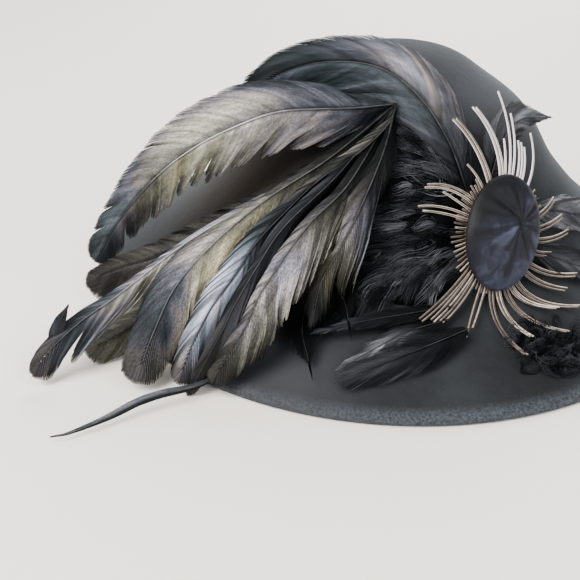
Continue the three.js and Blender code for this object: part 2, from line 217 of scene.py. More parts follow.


# Plumes: black barbs with a painted sheen that turns from steel through lilac and cream to gold.
# Attributes of the vane, in order: how much painted sheen shows, hue where on that scale it lies, barb how
# barbs differ, u and v the place across and along the barbs in millimetres, grain how strongly it is dashed
# there
plumeFinish = {
    "dark": (0.008, 0.009, 0.010),
    "sheen": [
        (0.0, (0.30, 0.37, 0.41)),
        (0.14, (0.50, 0.55, 0.67)),
        (0.3, (0.68, 0.67, 0.78)),
        (0.42, (0.91, 0.83, 0.83)),
        (0.55, (0.89, 0.85, 0.78)),
        (0.78, (0.80, 0.80, 0.63)),
        (1.0, (0.84, 0.75, 0.51)),
    ],
    "roughness": 0.38,
    "metal": (0.0, 0.75),     # where no sheen shows and where all of it does
}
hackleFinish = {
    "dark": (0.004, 0.0045, 0.0055),
    "sheen": [(0.0, (0.13, 0.145, 0.17)), (0.5, (0.27, 0.28, 0.32)), (1.0, (0.66, 0.66, 0.72))],
    "roughness": 0.42,
    "metal": (0.0, 0.3),
}
barbTexture = {
    "dashes": [(0.40, grey(0.25)), (0.57, grey(1.0))],
    "dashStretch": 0.32,      # of the place along a barb, so that dashes are drawn out
    "patches": [(0.36, grey(0.5)), (0.56, grey(1.0))],
    "patchShift": 140,        # added for each metre across the hat, so that no two feathers match
    "hueDrift": (0.6, -0.3),  # times the patches' noise, plus
}


def makePlumeMaterial(name, finish):
    material, tree, shader = newMaterial(name, Roughness=finish["roughness"], Specular_IOR_Level=0.12)
    alongBarb = addMath(tree, "MULTIPLY", readAttribute(tree, "v"), barbTexture["dashStretch"])
    onBarbs = addNode(tree, "ShaderNodeCombineXYZ", X=readAttribute(tree, "u"), Y=alongBarb).outputs["Vector"]
    shifted = addMath(tree, "MULTIPLY_ADD", readPlace(tree), (barbTexture["patchShift"],) * 3, onBarbs,
                      kind="ShaderNodeVectorMath")
    dash = addNoise(tree, onBarbs, Scale=2.0, Detail=3, Roughness=0.7).outputs["Fac"]
    patch = addNoise(tree, shifted, Scale=0.3, Detail=4, Roughness=0.6)
    dashed = addMath(tree, "SUBTRACT", addRamp(tree, dash, barbTexture["dashes"]), 1.0)
    dashed = addMath(tree, "MULTIPLY_ADD", dashed, readAttribute(tree, "grain"), 1.0)
    # how much painted sheen shows, broken up by dashes, patches and barbs
    amount = readAttribute(tree, "gloss")
    patched = addRamp(tree, patch.outputs["Fac"], barbTexture["patches"])
    for share in (dashed, patched, readAttribute(tree, "barb")):
        amount = addMath(tree, "MULTIPLY", amount, share)
    amount.node.use_clamp = True
    drift = addMath(tree, "MULTIPLY_ADD", patch.outputs["Color"], *barbTexture["hueDrift"])
    sheen = addRamp(tree, addMath(tree, "ADD", readAttribute(tree, "hue"), drift), finish["sheen"])
    feed(tree, shader.inputs["Base Color"], addMix(tree, amount, (*finish["dark"], 1), sheen))
    least, most = finish["metal"]
    metal = addNode(tree, "ShaderNodeMapRange", Value=amount, To_Min=least, To_Max=most)
    feed(tree, shader.inputs["Metallic"], metal.outputs["Result"])
    feed(tree, shader.inputs["Normal"], addBump(tree, dash, strength=0.25, distance=0.0002))
    return material


# Bare shafts and clipped quills: horn, mottled by fine noise over the tone that each one is given, which
# holds painted light and shade
hornFinish = {
    "darkShaft": {"roughness": 0.45, "tones": [(0.25, (0.009, 0.009, 0.010)), (0.75, (0.12, 0.12, 0.13)),
                                               (1.0, (0.42, 0.42, 0.46))]},
    "clippedHorn": {"roughness": 0.38, "tones": [(0.25, (0.06, 0.045, 0.04)), (0.6, (0.27, 0.225, 0.19)),
                                                 (0.78, (0.56, 0.49, 0.42)), (1.0, (0.72, 0.68, 0.72))]},
    "mottling": 0.5,
}


def makeHornMaterial(name):
    material, tree, shader = newMaterial(name, Roughness=hornFinish[name]["roughness"])
    streak = addNoise(tree, readPlace(tree), Scale=260, Detail=4, Roughness=0.6).outputs["Fac"]
    tone = addMath(tree, "MULTIPLY_ADD", streak, hornFinish["mottling"], readAttribute(tree, "gloss"))
    feed(tree, shader.inputs["Base Color"], addRamp(tree, tone, hornFinish[name]["tones"]))
    feed(tree, shader.inputs["Normal"], addBump(tree, streak, strength=0.3, distance=0.0002))
    return material


# Navy satin of the medallion, with painted light: paler where its folds stand up, and in painted shade
# towards its upper left
satinFinish = {
    "tones": [(0.1, (0.002, 0.0022, 0.004)), (0.5, (0.010, 0.011, 0.021)), (0.95, (0.062, 0.070, 0.108))],
    "paintedFoldLight": (0.9, -0.45),     # times the pad's painted light, plus
}


def makeSatinMaterial():
    material, tree, shader = newMaterial("navySatin", Roughness=0.55, Specular_IOR_Level=0.35,
                                         Sheen_Weight=0.06, Sheen_Roughness=0.35,
                                         Sheen_Tint=(0.6, 0.62, 0.85, 1))
    place = readPlace(tree)
    cloud = addNoise(tree, place, Scale=110, Detail=5, Roughness=0.6, Distortion=1.2).outputs["Fac"]
    thread = addNoise(tree, place, Scale=2400, Detail=2, Roughness=0.5).outputs["Fac"]
    lit = addMath(tree, "MULTIPLY_ADD", readAttribute(tree, "fold"), *satinFinish["paintedFoldLight"])
    tone = addMath(tree, "ADD", cloud, lit)
    feed(tree, shader.inputs["Base Color"], addRamp(tree, tone, satinFinish["tones"]))
    feed(tree, shader.inputs["Normal"], addBump(tree, thread, strength=0.3, distance=0.0001))
    return material


# Meshes from arrays of points, for what is made of hundreds of like strands
def joinedMesh(name, parts, materials):
    points = np.concatenate([part["points"] for part in parts])
    starts = np.cumsum([0] + [len(part["points"]) for part in parts[:-1]])
    groups = [(faces + start, part.get("material", 0))
              for part, start in zip(parts, starts) for faces in part["faces"]]
    sizes = np.concatenate([np.full(len(faces), faces.shape[1]) for faces, _ in groups])
    corners = np.concatenate([faces.ravel() for faces, _ in groups])
    painted = np.concatenate([np.full(len(faces), material) for faces, material in groups])
    mesh = bpy.data.meshes.new(name)
    mesh.vertices.add(len(points))
    mesh.vertices.foreach_set("co", (points * mm).astype(np.float32).ravel())
    mesh.loops.add(len(corners))
    mesh.loops.foreach_set("vertex_index", corners.astype(np.int32))
    mesh.polygons.add(len(sizes))
    mesh.polygons.foreach_set("loop_start", np.r_[0, np.cumsum(sizes)[:-1]].astype(np.int32))
    mesh.polygons.foreach_set("material_index", painted.astype(np.int32))
    mesh.update(calc_edges=True)
    for key in ("gloss", "hue", "barb", "u", "v", "grain"):
        values = np.concatenate([np.broadcast_to(part.get(key, 0.5), len(part["points"])) for part in parts])
        mesh.attributes.new(key, "FLOAT", "POINT").data.foreach_set("value", values.astype(np.float32))
    mesh.validate()
    for material in materials:
        mesh.materials.append(material)
    piece = bpy.data.objects.new(name, mesh)
    bpy.context.scene.collection.objects.link(piece)
    return piece


# Closed tubes from points in strands by rings by corners, corners counter-clockwise as seen from the far end
def tubePart(points, **attributes):
    shape = points.shape[:3]
    grid = np.arange(math.prod(shape)).reshape(shape)
    turned = np.roll(grid, -1, axis=2)
    sides = np.stack([grid[:, :-1], turned[:, :-1], turned[:, 1:], grid[:, 1:]], axis=-1).reshape(-1, 4)
    ends = np.concatenate([grid[:, 0, ::-1], grid[:, -1]])
    spread = {key: np.broadcast_to(value, shape).ravel() for key, value in attributes.items()}
    return {"points": points.reshape(-1, 3), "faces": [sides, ends], **spread}


def unit(vectors):
    return vectors / np.maximum(np.linalg.norm(vectors, axis=-1, keepdims=True), 1e-9)


# What is left of vectors once their part along unit directions is gone
def squareTo(directions, vectors):
    return vectors - directions * np.sum(vectors * directions, axis=-1, keepdims=True)


# Rows of a table at places between its steps
def tableAt(places, steps, table):
    return np.stack([np.interp(places, steps, column) for column in table.T], -1)


# A curve through the given points, as points at even distances, and its length
def smoothCurve(points, count):
    given = np.array(points, float)
    given = np.vstack([2 * given[0] - given[1], given, 2 * given[-1] - given[-2]])
    t = np.linspace(0, 1, 24, endpoint=False)[:, None]
    dense = [0.5 * (2 * b + (c - a) * t + (2 * a - 5 * b + 4 * c - d) * t**2 + (3 * b - 3 * c + d - a) * t**3)
             for a, b, c, d in zip(given, given[1:], given[2:], given[3:])]
    dense = np.vstack(dense + [given[-2][None]])
    lengths = np.r_[0, np.cumsum(np.linalg.norm(np.diff(dense, axis=0), axis=1))]
    return tableAt(np.linspace(0, lengths[-1], count), lengths, dense), lengths[-1]


def evenly(values, along):
    return np.interp(along, np.linspace(0, 1, len(values)), values)


# Shaft, face and side directions all along a feather
def shaftFrame(points, facing, turns, count=121):
    curve, length = smoothCurve(points, count)
    tangent = unit(np.gradient(curve, axis=0))
    face = unit(squareTo(tangent, np.array(facing, float) - curve))
    angle = np.radians(evenly(turns, np.linspace(0, 1, count)))[:, None]
    face = face * np.cos(angle) + np.cross(tangent, face) * np.sin(angle)
    return {"curve": curve, "tangent": tangent, "face": face, "side": np.cross(face, tangent),
            "length": length, "count": count}


def frameAt(shaft, key, along):
    return tableAt(along, np.linspace(0, 1, shaft["count"]), shaft[key])


def onVane(shaft, along, across, out):
    centre = frameAt(shaft, "curve", along)
    past = np.maximum(along - 1, 0) * shaft["length"]
    centre = centre + frameAt(shaft, "tangent", along) * past[..., None]
    centre = centre + frameAt(shaft, "side", along) * across[..., None]
    return centre + frameAt(shaft, "face", along) * out[..., None]


# A table along the shaft, or rows of it from the shaft out to the edge
def overVane(table, across, along):
    if np.ndim(table[0]) == 0:
        return evenly(table, along)
    rows = np.stack([evenly(row, along) for row in table])
    place = np.clip(across, 0, 1) * (len(table) - 1)
    below = np.minimum(place.astype(int), len(table) - 2)
    first = np.take_along_axis(rows, below[None], 0)[0]
    second = np.take_along_axis(rows, below[None] + 1, 0)[0]
    return first + (second - first) * (place - below)


# Smooth random values from -1 to 1 that turn about once in the given length
def wander(places, length):
    knots = draw.uniform(-1, 1, int(places.max() / length) + 3)
    place = np.maximum(places, 0) / length
    step = place.astype(int)
    part = place - step
    part = part * part * (3 - 2 * part)
    return knots[step] * (1 - part) + knots[step + 1] * part


# Feathers: a shaft with a vane of barbs on each side
vaneSet = {
    "spacing": 0.62,      # between barbs along the vane's edge
    "sweep": 1.6,         # how far a barb's tip lies ahead of its root, over its reach
    "leastRoot": 0.35,    # a root's place along the shaft, as a share of its tip's place
    "lastRoot": 0.997,
    "bow": 0.25,          # barbs leave the shaft steeply
    "lean": 0.3,          # and turn towards its tip
    "overlap": 1.5,       # barb's width over its distance from the next
    "taper": 0.6,         # of a barb's width, lost at its tip
    "thinnest": 0.17,     # half width of a barb
    "leastReach": 0.6,
    "rings": 8,
    "ridge": 0.02,        # height of a barb's ridge
    "roll": 0.05,         # barbs lie over one another like shingles
    "camber": 0.30,
    "ripple": 0.5,        # height of the soft waves across the vane
    "rippleLength": 9.0,
    "uneven": 0.03,       # of the edge, as a share of the reach
    "unevenLength": 5.0,
    "ragged": 0.025,      # the same for each barb by itself
    "stray": 0.12,        # of barb tips along the edge
    "streak": 0.25,       # how much groups of barbs differ in painted sheen
    "lineGap": 1.1,       # between the finer streaks, measured across the barbs
    "broader": 3.5,       # gap between the broad streaks, over that of the finer ones
    "streaks": (0.35, 1.6, 0.8),    # least depth, then that of finer and of broad ones
    "hueDrift": 0.12,
    "hueLength": 6.0,
    "barbShades": (0.86, 1.1),
    "grain": 0.5,
    "gather": 3.0,        # how far from a split the barbs are drawn together
    "gatherShare": 0.65,  # the same over its opening, where that is more
    "notch": 0.05,        # share of the reach lost there for each millimetre of opening
    "notchWidth": 1.6,
    "gapFrom": 0.5,       # share of the barbs from which it may stand open
    "openShare": 1.0,     # of its opening that is a gap, the rest is painted shade
    "lipShade": 1.5,      # width of the painted shade beside it
    "lipDark": 0.92,
    "lowest": 0.5,        # height above the floor
    "start": 0.03,        # share of the shaft that is bare
    "tipReach": 6.0,      # of the vane beyond the shaft's end
    "shaftRoot": 0.55,    # radius
    "shaftTip": 0.15,
}
shaftSet = {"rings": 40, "lift": 0.25, "taper": 0.7}


# Barb tips at even distances along a vane's outline, which closes round past the shaft's end
def outlineTips(side, length, given):
    dense = np.linspace(given["start"], 1 + given["tipReach"] / length, 900)
    beyond = np.clip((dense - 1) * length / given["tipReach"], 0, 1)
    outline = evenly(side["reach"], np.minimum(dense, 1)) * np.sqrt(1 - beyond**2)
    run = np.r_[0, np.cumsum(np.hypot(np.diff(dense) * length, np.diff(outline)))]
    at = np.linspace(0, run[-1], int(run[-1] / given["spacing"]))
    return np.interp(at, run, dense), np.interp(at, run, outline)


# Splits draw barbs apart along the shaft and in height, and paint shade on their lips. A split is its place
# on the edge, how wide it opens, from what share of the barbs, and how far its lips part in height
def partBarbs(splits, edge, length, t, given):
    shift = lift = 0
    light = 1
    for place, opening, apex, lips in splits:
        gone = (edge - place * length)[:, None]
        near = np.sign(gone) * np.exp(-np.abs(gone) / max(given["gather"], given["gatherShare"] * opening))
        gap = max(apex, given["gapFrom"])
        opened = np.clip((t - gap) / (1 - gap), 0, 1) ** 1.2
        shift = shift + 0.5 * opening * given["openShare"] * near * opened
        lift = lift + lips * near * opened
        wide = given["lipShade"] * (0.5 + 0.25 * opening)
        shade = np.exp(-(((gone + 0.5 * wide) / wide) ** 2))
        light = light * (1 - given["lipDark"] * shade * np.clip((t - apex) / (1 - apex), 0, 1) ** 0.5)
    return shift, lift, light


# One side of a vane as barbs that lie side by side, each a thin ridged blade
def vaneSide(shaft, sign, side, given):
    length = shaft["length"]
    splits = side.get("splits", [])
    tips, reach = outlineTips(side, length, given)
    edge = tips * length
    count = len(tips)
    roots = np.maximum(tips - given["sweep"] * reach / length, given["leastRoot"] * tips)
    roots = np.minimum(roots, given["lastRoot"])
    cut = 1 + given["ragged"] * draw.uniform(-1, 0.4, count)
    cut = cut + given["uneven"] * wander(edge, given["unevenLength"])
    for place, opening, *_ in splits:
        near = np.exp(-(((edge - place * length) / given["notchWidth"]) ** 2))
        cut = cut * (1 - given["notch"] * opening * near)
    reach = reach * cut
    t = np.linspace(0, 1, given["rings"])[None, :]
    across = reach[:, None] * ((1 + given["bow"]) * t - given["bow"] * t**2)
    path = roots[:, None] + ((tips - roots) * cut)[:, None] * ((1 - given["lean"]) * t + given["lean"] * t**2)
    onShaft = np.clip(path, 0, 1)
    local = np.maximum(evenly(side["reach"], onShaft), given["leastReach"])
    out = (given["ripple"] * wander(edge, given["rippleLength"])[:, None] * t**1.5
           - given["camber"] * across**2 / np.maximum(local, across))
    # widths come from the closed vane, so that barbs beside a split stay as wide as the rest
    closed = onVane(shaft, path, sign * across, out)
    beside = squareTo(unit(np.gradient(closed, axis=1)), np.gradient(closed, axis=0))
    half = np.maximum(0.5 * given["overlap"] * np.linalg.norm(beside, axis=2), given["thinnest"])
    half = (np.minimum(half, given["spacing"]) * (1 - given["taper"] * t**6))[..., None]
    stray = draw.normal(0, given["stray"], count)[:, None] * t**3
    shift, lift, light = partBarbs(splits, edge, length, t, given)
    centres = onVane(shaft, path + (stray + shift) / length, sign * across, out + lift)
    centres[..., 2] = np.maximum(centres[..., 2], given["lowest"])
    along = unit(np.gradient(centres, axis=1))
    over = unit(np.cross(frameAt(shaft, "face", onShaft), along))
    up = np.cross(along, over)
    points = np.stack([centres + over * half + up * half * given["roll"], centres + up * given["ridge"],
                       centres - over * half - up * half * given["roll"]], axis=2)
    share = across / local
    slant = math.hypot(1, given["sweep"])
    gap = given["lineGap"] * slant
    least, fine, broad = given["streaks"]
    lines = least + fine * wander(edge, gap) + broad * wander(edge, given["broader"] * gap)
    streak = 1 - given["streak"] * (np.clip(lines, 0, 1) ** 1.3)[:, None] * (0.4 + 0.6 * np.clip(share, 0, 1))
    drift = given["hueDrift"] * wander(edge, given["hueLength"])[:, None]
    painted = {
        "gloss": overVane(side["gloss"], share, onShaft) * light,
        "hue": np.clip(overVane(side["hue"], share, onShaft) + drift, 0, 1),
        "barb": streak * draw.uniform(*given["barbShades"], count)[:, None],
        "u": (edge / slant)[:, None] * np.ones_like(t),
        "v": reach[:, None] * t * slant,
    }
    return tubePart(points, grain=given["grain"], **{key: value[..., None] for key, value in painted.items()})


def shaftTube(shaft, rootRadius, tipRadius, gloss, corners=6):
    along = np.linspace(0, 1, shaftSet["rings"])
    radius = (rootRadius + (tipRadius - rootRadius) * along ** shaftSet["taper"])[:, None, None]
    angle = (np.arange(corners) * 2 * np.pi / corners)[None, :, None]
    side, face = frameAt(shaft, "side", along), frameAt(shaft, "face", along)
    centre = frameAt(shaft, "curve", along) + face * shaftSet["lift"]
    points = centre[:, None] + radius * (side[:, None] * np.cos(angle) + face[:, None] * np.sin(angle))
    return {**tubePart(points[None], gloss=evenly(gloss, along)[None, :, None]), "material": 1}


def featherParts(row, facing, defaults):
    given = {**vaneSet, **defaults, **row.get("set", {})}
    shaft = shaftFrame(row["shaft"], facing, row.get("turn", [0, 0]))
    parts = []
    for sign, name in ((-1, "up"), (1, "low")):
        side = {**row.get("both", {}), **row.get(name, {})}
        parts.append(vaneSide(shaft, sign, side, {**given, **side.get("set", {})}))
    parts.append(shaftTube(shaft, given["shaftRoot"], given["shaftTip"], row["shaftToneAndPaintedLight"]))
    return parts


# The spray: root shared by all, then each feather's shaft and its turns about it, and for each side, or both,
# the half width, painted sheen and splits all along
sprayRoot = (-5.3, -47, 95.2)
sprayFacing = (-55, -400, 205)
spray = {
    "crownPlume": {
        "shaft": [(27, -66, 58.6), (15.7, -62, 84.4), (2.5, -47, 100.4), (-14.1, -36, 108.6),
                  (-35.7, -32, 109.3), (-53.2, -35, 105.7), (-65.8, -40, 99.2)],
        "turn": [10, 0, -10],
        "up": {
            "reach": [1, 5, 9, 12, 13, 13, 12, 11, 10, 9, 7],
            "gloss": [[0.03, 0.05, 0.06, 0.1, 0.15, 0.12, 0.08, 0.08, 0.08, 0.08, 0.06],
                      [0.03, 0.06, 0.1, 0.15, 0.35, 0.6, 0.35, 0.2, 0.15, 0.12, 0.08],
                      [0.03, 0.06, 0.08, 0.1, 0.15, 0.25, 0.2, 0.15, 0.12, 0.1, 0.08]],
            "hue": [0, 0.1, 0.25, 0.3, 0.25, 0.1, 0, 0],
        },
        "low": {
            "reach": [1, 6, 11, 14, 15, 14, 14, 13, 12, 11, 8],
            "gloss": [[0.03, 0.06, 0.2, 0.4, 0.5, 0.4],
                      [0.04, 0.12, 0.25, 0.4, 0.45, 0.4],
                      [0.03, 0.06, 0.15, 0.3, 0.35, 0.3]],
            "hue": [0, 0.05, 0.1, 0.1, 0, 0],
        },
        "set": {"sweep": 2.4, "spacing": 0.75, "ripple": 0.4, "streak": 0.6, "grain": 0.15, "camber": 0.2},
        "shaftToneAndPaintedLight": [0.05, 0.1, 0.2, 0.1],
    },
    "topPlume": {
        "shaft": [sprayRoot, (-23.7, -52, 95), (-40, -54, 95.2), (-56.5, -55, 94.2), (-72.7, -56, 88.9),
                  (-92, -56, 79), (-110.6, -55, 64.2), (-129.3, -54, 42.3), (-139.6, -53, 26)],
        "turn": [0, 5, 10],
        "up": {
            "reach": [0.8, 4, 11, 13.5, 16.5, 16.8, 15.7, 14.1, 11.5, 9.5, 7.5],
            "gloss": [[0.05, 0.15, 0.2, 0.2, 0.35, 0.45, 0.25, 0.15, 0.25, 0.25, 0.15],
                      [0.05, 0.2, 0.25, 0.35, 0.6, 0.78, 0.65, 0.25, 0.3, 0.3, 0.15],
                      [0.05, 0.15, 0.15, 0.14, 0.15, 0.2, 0.5, 0.25, 0.3, 0.25, 0.15]],
            "hue": [[0, 0.1, 0.2, 0.3, 0.5, 0.6, 0.65, 0.5, 0.1, 0, 0],
                    [0, 0.1, 0.2, 0.45, 0.5, 0.65, 0.7, 0.6, 0.1, 0, 0],
                    [0, 0, 0, 0.1, 0.15, 0.2, 0.3, 0.2, 0, 0, 0]],
            "splits": [(0.7, 1.0, 0.2, 0.3), (0.83, 0.8, 0.6, 0.3), (0.9, 1.6, 0.55, 0.5),
                       (0.97, 2, 0.5, 0.5)],
        },
        "low": {
            "reach": [0.8, 9, 16, 18, 17, 16.5, 15.4, 13.5, 11, 9, 7],
            "gloss": [[0.03, 0.08, 0.3, 0.4, 0.7, 0.75, 0.4, 0.15, 0.12, 0.15, 0.1],
                      [0.03, 0.12, 0.6, 0.8, 1, 1, 0.85, 0.45, 0.15, 0.15, 0.1],
                      [0.03, 0.15, 0.9, 1, 1, 0.95, 0.75, 0.55, 0.2, 0.15, 0.1]],
            "hue": [[0, 0.2, 0.35, 0.45, 0.6, 0.75, 0.85, 0.8, 0.6, 0.3, 0],
                    [0, 0.2, 0.4, 0.42, 0.5, 0.65, 0.8, 0.8, 0.6, 0.3, 0],
                    [0.3, 0.35, 0.42, 0.42, 0.42, 0.5, 0.7, 0.7, 0.5, 0.2, 0]],
            "splits": [(0.24, 4, 0.4, 0.6), (0.335, 6, 0.25, 0.7), (0.44, 6, 0.3, 0.7),
                       (0.525, 4.5, 0.35, 0.6), (0.575, 2, 0.5, 0.4), (0.62, 4.5, 0.3, 0.6),
                       (0.67, 3, 0.4, 0.4), (0.72, 3, 0.4, 0.4), (0.82, 1.5, 0.6, 0.3), (0.93, 6, 0.15, 0.4)],
            "set": {"ragged": 0.05, "uneven": 0.07, "ripple": 0.6, "openShare": 0.3, "lipShade": 2.2},
        },
        "set": {"grain": 0.45, "streak": 0.45, "lineGap": 0.7},
        "shaftToneAndPaintedLight": [0.05, 0.2, 0.6, 0.9, 0.6, 0.2, 0.05],
    },
    "shadePlume": {
        "shaft": [sprayRoot, (-33.8, -60, 74.6), (-59.8, -62, 56.8), (-86.8, -62, 41.2), (-110.4, -60, 28.5),
                  (-131, -57, 20.1), (-142.5, -56, 14)],
        "turn": [0, 5],
        "both": {"hue": [0.3, 0.5, 0.6, 0.6]},
        "up": {
            "reach": [0.8, 2, 3.5, 5, 6, 6.8, 7.5, 7.5, 7, 6, 5],
            "gloss": [0.02, 0.02, 0.02, 0.04, 0.08, 0.1, 0.08],
            "splits": [(0.6, 1.2, 0.4, 1), (0.7, 1.5, 0.4, 1), (0.8, 1.5, 0.4, 1)],
        },
        "low": {
            "reach": [0.8, 3, 6, 9, 11, 12, 13, 14, 15, 15, 13],
            "gloss": [0.02, 0.02, 0.03, 0.06, 0.1, 0.12, 0.08],
            "splits": [(0.7, 1.2, 0.4, 1), (0.8, 1.5, 0.4, 1), (0.9, 1.5, 0.4, 1)],
        },
        "set": {"ripple": 1.2, "rippleLength": 4, "streak": 0.7},
        "shaftToneAndPaintedLight": [0, 0.05],
    },
    "underPlume": {
        "shaft": [sprayRoot, (-34, -68, 68.7), (-61.7, -76, 51.4), (-89.9, -83, 30.8), (-111.5, -92, 16),
                  (-127.3, -100, 9), (-133, -103, 7.5)],
        "turn": [0, 15],
        "both": {
            "reach": [0.8, 1.5, 3, 5, 8, 10, 10, 10, 10, 9, 8],
            "gloss": [0, 0.02, 0.05, 0.2, 0.25],
            "hue": [0.5, 0.7, 0.7],
        },
        "up": {"splits": [(0.7, 1.5, 0.4, 1), (0.82, 1.5, 0.4, 1)]},
        "low": {"splits": [(0.65, 1.5, 0.4, 1), (0.77, 1.5, 0.4, 1), (0.9, 2, 0.4, 1)]},
        "set": {"ripple": 1.2, "rippleLength": 4, "streak": 0.7},
        "shaftToneAndPaintedLight": [0, 0.05],
    },
    "reachPlume": {
        "shaft": [sprayRoot, (-27.7, -62, 80.8), (-54.8, -71, 65.4), (-76.4, -77, 56.1), (-99.3, -84, 43.5),
                  (-123.1, -97, 29), (-137.8, -107, 21.9), (-149.7, -117, 13.8), (-153.5, -120, 9)],
        "turn": [0, 10, 10],
        "up": {
            "reach": [0.8, 2, 3.5, 2.8, 2.2, 1.8, 1.8, 2.2, 3.2, 4.5, 4],
            "gloss": [0, 0, 0.01, 0.08, 0.3, 0.5, 0.6, 0.5, 0.3, 0.12, 0.08],
            "hue": [0.4, 0.4, 0.4, 0.3, 0.3, 0.3, 0.2, 0.3, 0.05, 0.2, 0.6],
            "splits": [(0.93, 1.2, 0.3, 0.3)],
        },
        "low": {
            "reach": [0.8, 2, 4, 5.5, 7.8, 9, 8.5, 7.2, 8, 11, 6.5],
            "gloss": [[0, 0, 0.01, 0.06, 0.35, 0.75, 0.9, 0.65, 0.25, 0.14, 0.12],
                      [0, 0, 0.01, 0.1, 0.45, 0.9, 1, 0.75, 0.45, 0.2, 0.13],
                      [0, 0, 0.01, 0.1, 0.5, 1, 0.8, 0.5, 0.9, 0.5, 0.13]],
            "hue": [0.5, 0.5, 0.5, 0.5, 0.5, 0.6, 0.7, 0.6, 0.4, 0.05, 0.4],
            "splits": [(0.55, 2, 0.5, 0.6), (0.63, 2.5, 0.45, 0.6), (0.74, 4, 0.35, 0.7), (0.82, 2, 0.5, 0.4),
                       (0.9, 3, 0.4, 0.5), (0.965, 6, 0.2, 0.4)],
            "set": {"uneven": 0.1},
        },
        "set": {"sweep": 3.2, "spacing": 0.7, "streak": 0.9, "lineGap": 0.5, "grain": 0.35, "camber": 0.2,
                "tipReach": 5},
        "shaftToneAndPaintedLight": [0, 0, 0.3, 0.7, 0.7, 0.5, 0.1],
    },
    "edgeLeaf": {
        "shaft": [(-144.9, -112, 9.4), (-147.1, -112, 17.3), (-144.8, -111, 24.4), (-141.4, -110, 30.5)],
        "both": {"reach": [3, 3.2, 3, 2.2, 0.5], "gloss": [0.06, 0.1, 0.1], "hue": [0.1, 0.1]},
        "set": {"tipReach": 2, "ripple": 0.2, "shaftRoot": 0.3},
        "shaftToneAndPaintedLight": [0, 0.05],
    },
    "goldPlume": {
        "shaft": [sprayRoot, (-34.2, -68, 78.6), (-60.6, -78, 64.3), (-82.7, -88, 48.8), (-97.9, -101, 35.6),
                  (-105.9, -113, 22.3), (-109.3, -119, 15.1), (-111, -122, 11)],
        "turn": [0, 20, 20, 10],
        "up": {
            "reach": [0.8, 1, 2, 2.4, 2.4, 3, 6, 10.2, 10.8, 10, 9],
            "gloss": [[0, 0, 0.01, 0.04, 0.12, 0.4, 0.75, 0.9, 0.35, 0.1, 0.09],
                      [0, 0, 0.01, 0.04, 0.12, 0.4, 0.7, 0.5, 0.16, 0.09, 0.1],
                      [0, 0, 0.01, 0.04, 0.12, 0.3, 0.3, 0.14, 0.18, 0.12, 0.1]],
            "hue": [0.6, 0.6, 0.6, 0.6, 0.6, 0.6, 0.65, 0.5, 0.2, 0.02, 0.5],
        },
        "low": {
            "reach": [0.8, 1.5, 4, 6.3, 8.5, 11.5, 13, 12.8, 12, 11.5, 9],
            "gloss": [[0, 0, 0.01, 0.04, 0.15, 0.4, 0.65, 0.45, 0.1, 0.08, 0.08],
                      [0, 0, 0.02, 0.07, 0.25, 0.6, 1, 1, 0.4, 0.11, 0.09],
                      [0, 0.01, 0.05, 0.15, 0.3, 0.6, 1, 1, 1, 0.5, 0.1]],
            "hue": [[0.6, 0.6, 0.7, 0.8, 0.8, 0.85, 0.85, 0.6, 0.02, 0.1, 0.5],
                    [0.6, 0.6, 0.7, 0.8, 0.85, 0.95, 1, 0.9, 0.4, 0.1, 0.5],
                    [0.6, 0.6, 0.7, 0.8, 0.85, 0.95, 1, 1, 0.95, 0.8, 0.6]],
            "splits": [(0.86, 1.2, 0.6, 0.3)],
        },
        "set": {"sweep": 2.2, "spacing": 0.7, "ripple": 0.4, "streak": 0.55, "lineGap": 0.5, "grain": 0.6,
                "camber": 0.25, "tipReach": 8},
        "shaftToneAndPaintedLight": [0, 0.1, 0.3, 0.6, 0.5, 0.2],
    },
    "twistPlume": {
        "shaft": [sprayRoot, (-9.4, -57, 89.7), (-22.2, -68, 81.3), (-38.2, -77, 73.3), (-51.4, -86, 63.9),
                  (-64.4, -96, 53.3), (-73.2, -105, 43), (-83, -114, 32), (-91, -122, 18.1), (-94, -126, 11)],
        "turn": [-60, -40, -20, 0, 10],
        "up": {
            "reach": [0.8, 2.5, 3.8, 3.4, 2.8, 3.8, 5.5, 7, 6.5, 6, 5],
            "gloss": [[0, 0.08, 0.14, 0.08, 0.02, 0.03, 0.2, 0.9, 1, 0.7, 0.1],
                      [0, 0.22, 0.32, 0.26, 0.15, 0.08, 0.35, 1, 1, 0.9, 0.12]],
            "hue": [0.6, 0.6, 0.6, 0.6, 0.4, 0.1, 0.05, 0.12, 0.16, 0.16, 0.4],
            "splits": [(0.62, 1, 0.5, 0.5), (0.74, 1.5, 0.4, 0.7), (0.86, 1.2, 0.5, 0.6)],
        },
        "low": {
            "reach": [0.8, 6, 6.5, 5, 3.4, 3.6, 5.5, 8.5, 10, 9.5, 7],
            "gloss": [[0, 0.08, 0.14, 0.05, 0.01, 0.02, 0.2, 1, 1, 0.7, 0.1],
                      [0, 0.22, 0.32, 0.15, 0.02, 0.02, 0.25, 1, 1, 0.5, 0.06]],
            "hue": [0.65, 0.65, 0.65, 0.6, 0.3, 0.05, 0.1, 0.12, 0.16, 0.16, 0.4],
            "splits": [(0.66, 1.2, 0.4, 0.6), (0.75, 2, 0.35, 0.9), (0.83, 2.4, 0.4, 0.9),
                       (0.91, 2, 0.4, 0.8)],
        },
        "set": {"sweep": 3.2, "spacing": 0.65, "streak": 0.98, "lineGap": 0.6, "grain": 0.3, "camber": 0.25},
        "shaftToneAndPaintedLight": [0.1, 0.1, 0.05, 0.1, 0.1],
    },
    "slimPlume": {
        "shaft": [sprayRoot, (-30.3, -76, 75.6), (-53.2, -94, 59.6), (-64, -106, 47.7), (-72.8, -116, 36),
                  (-77.6, -121, 27), (-82.5, -125, 19), (-86.4, -127, 12), (-89.8, -128, 5.5)],
        "turn": [-30, 0],
        "up": {
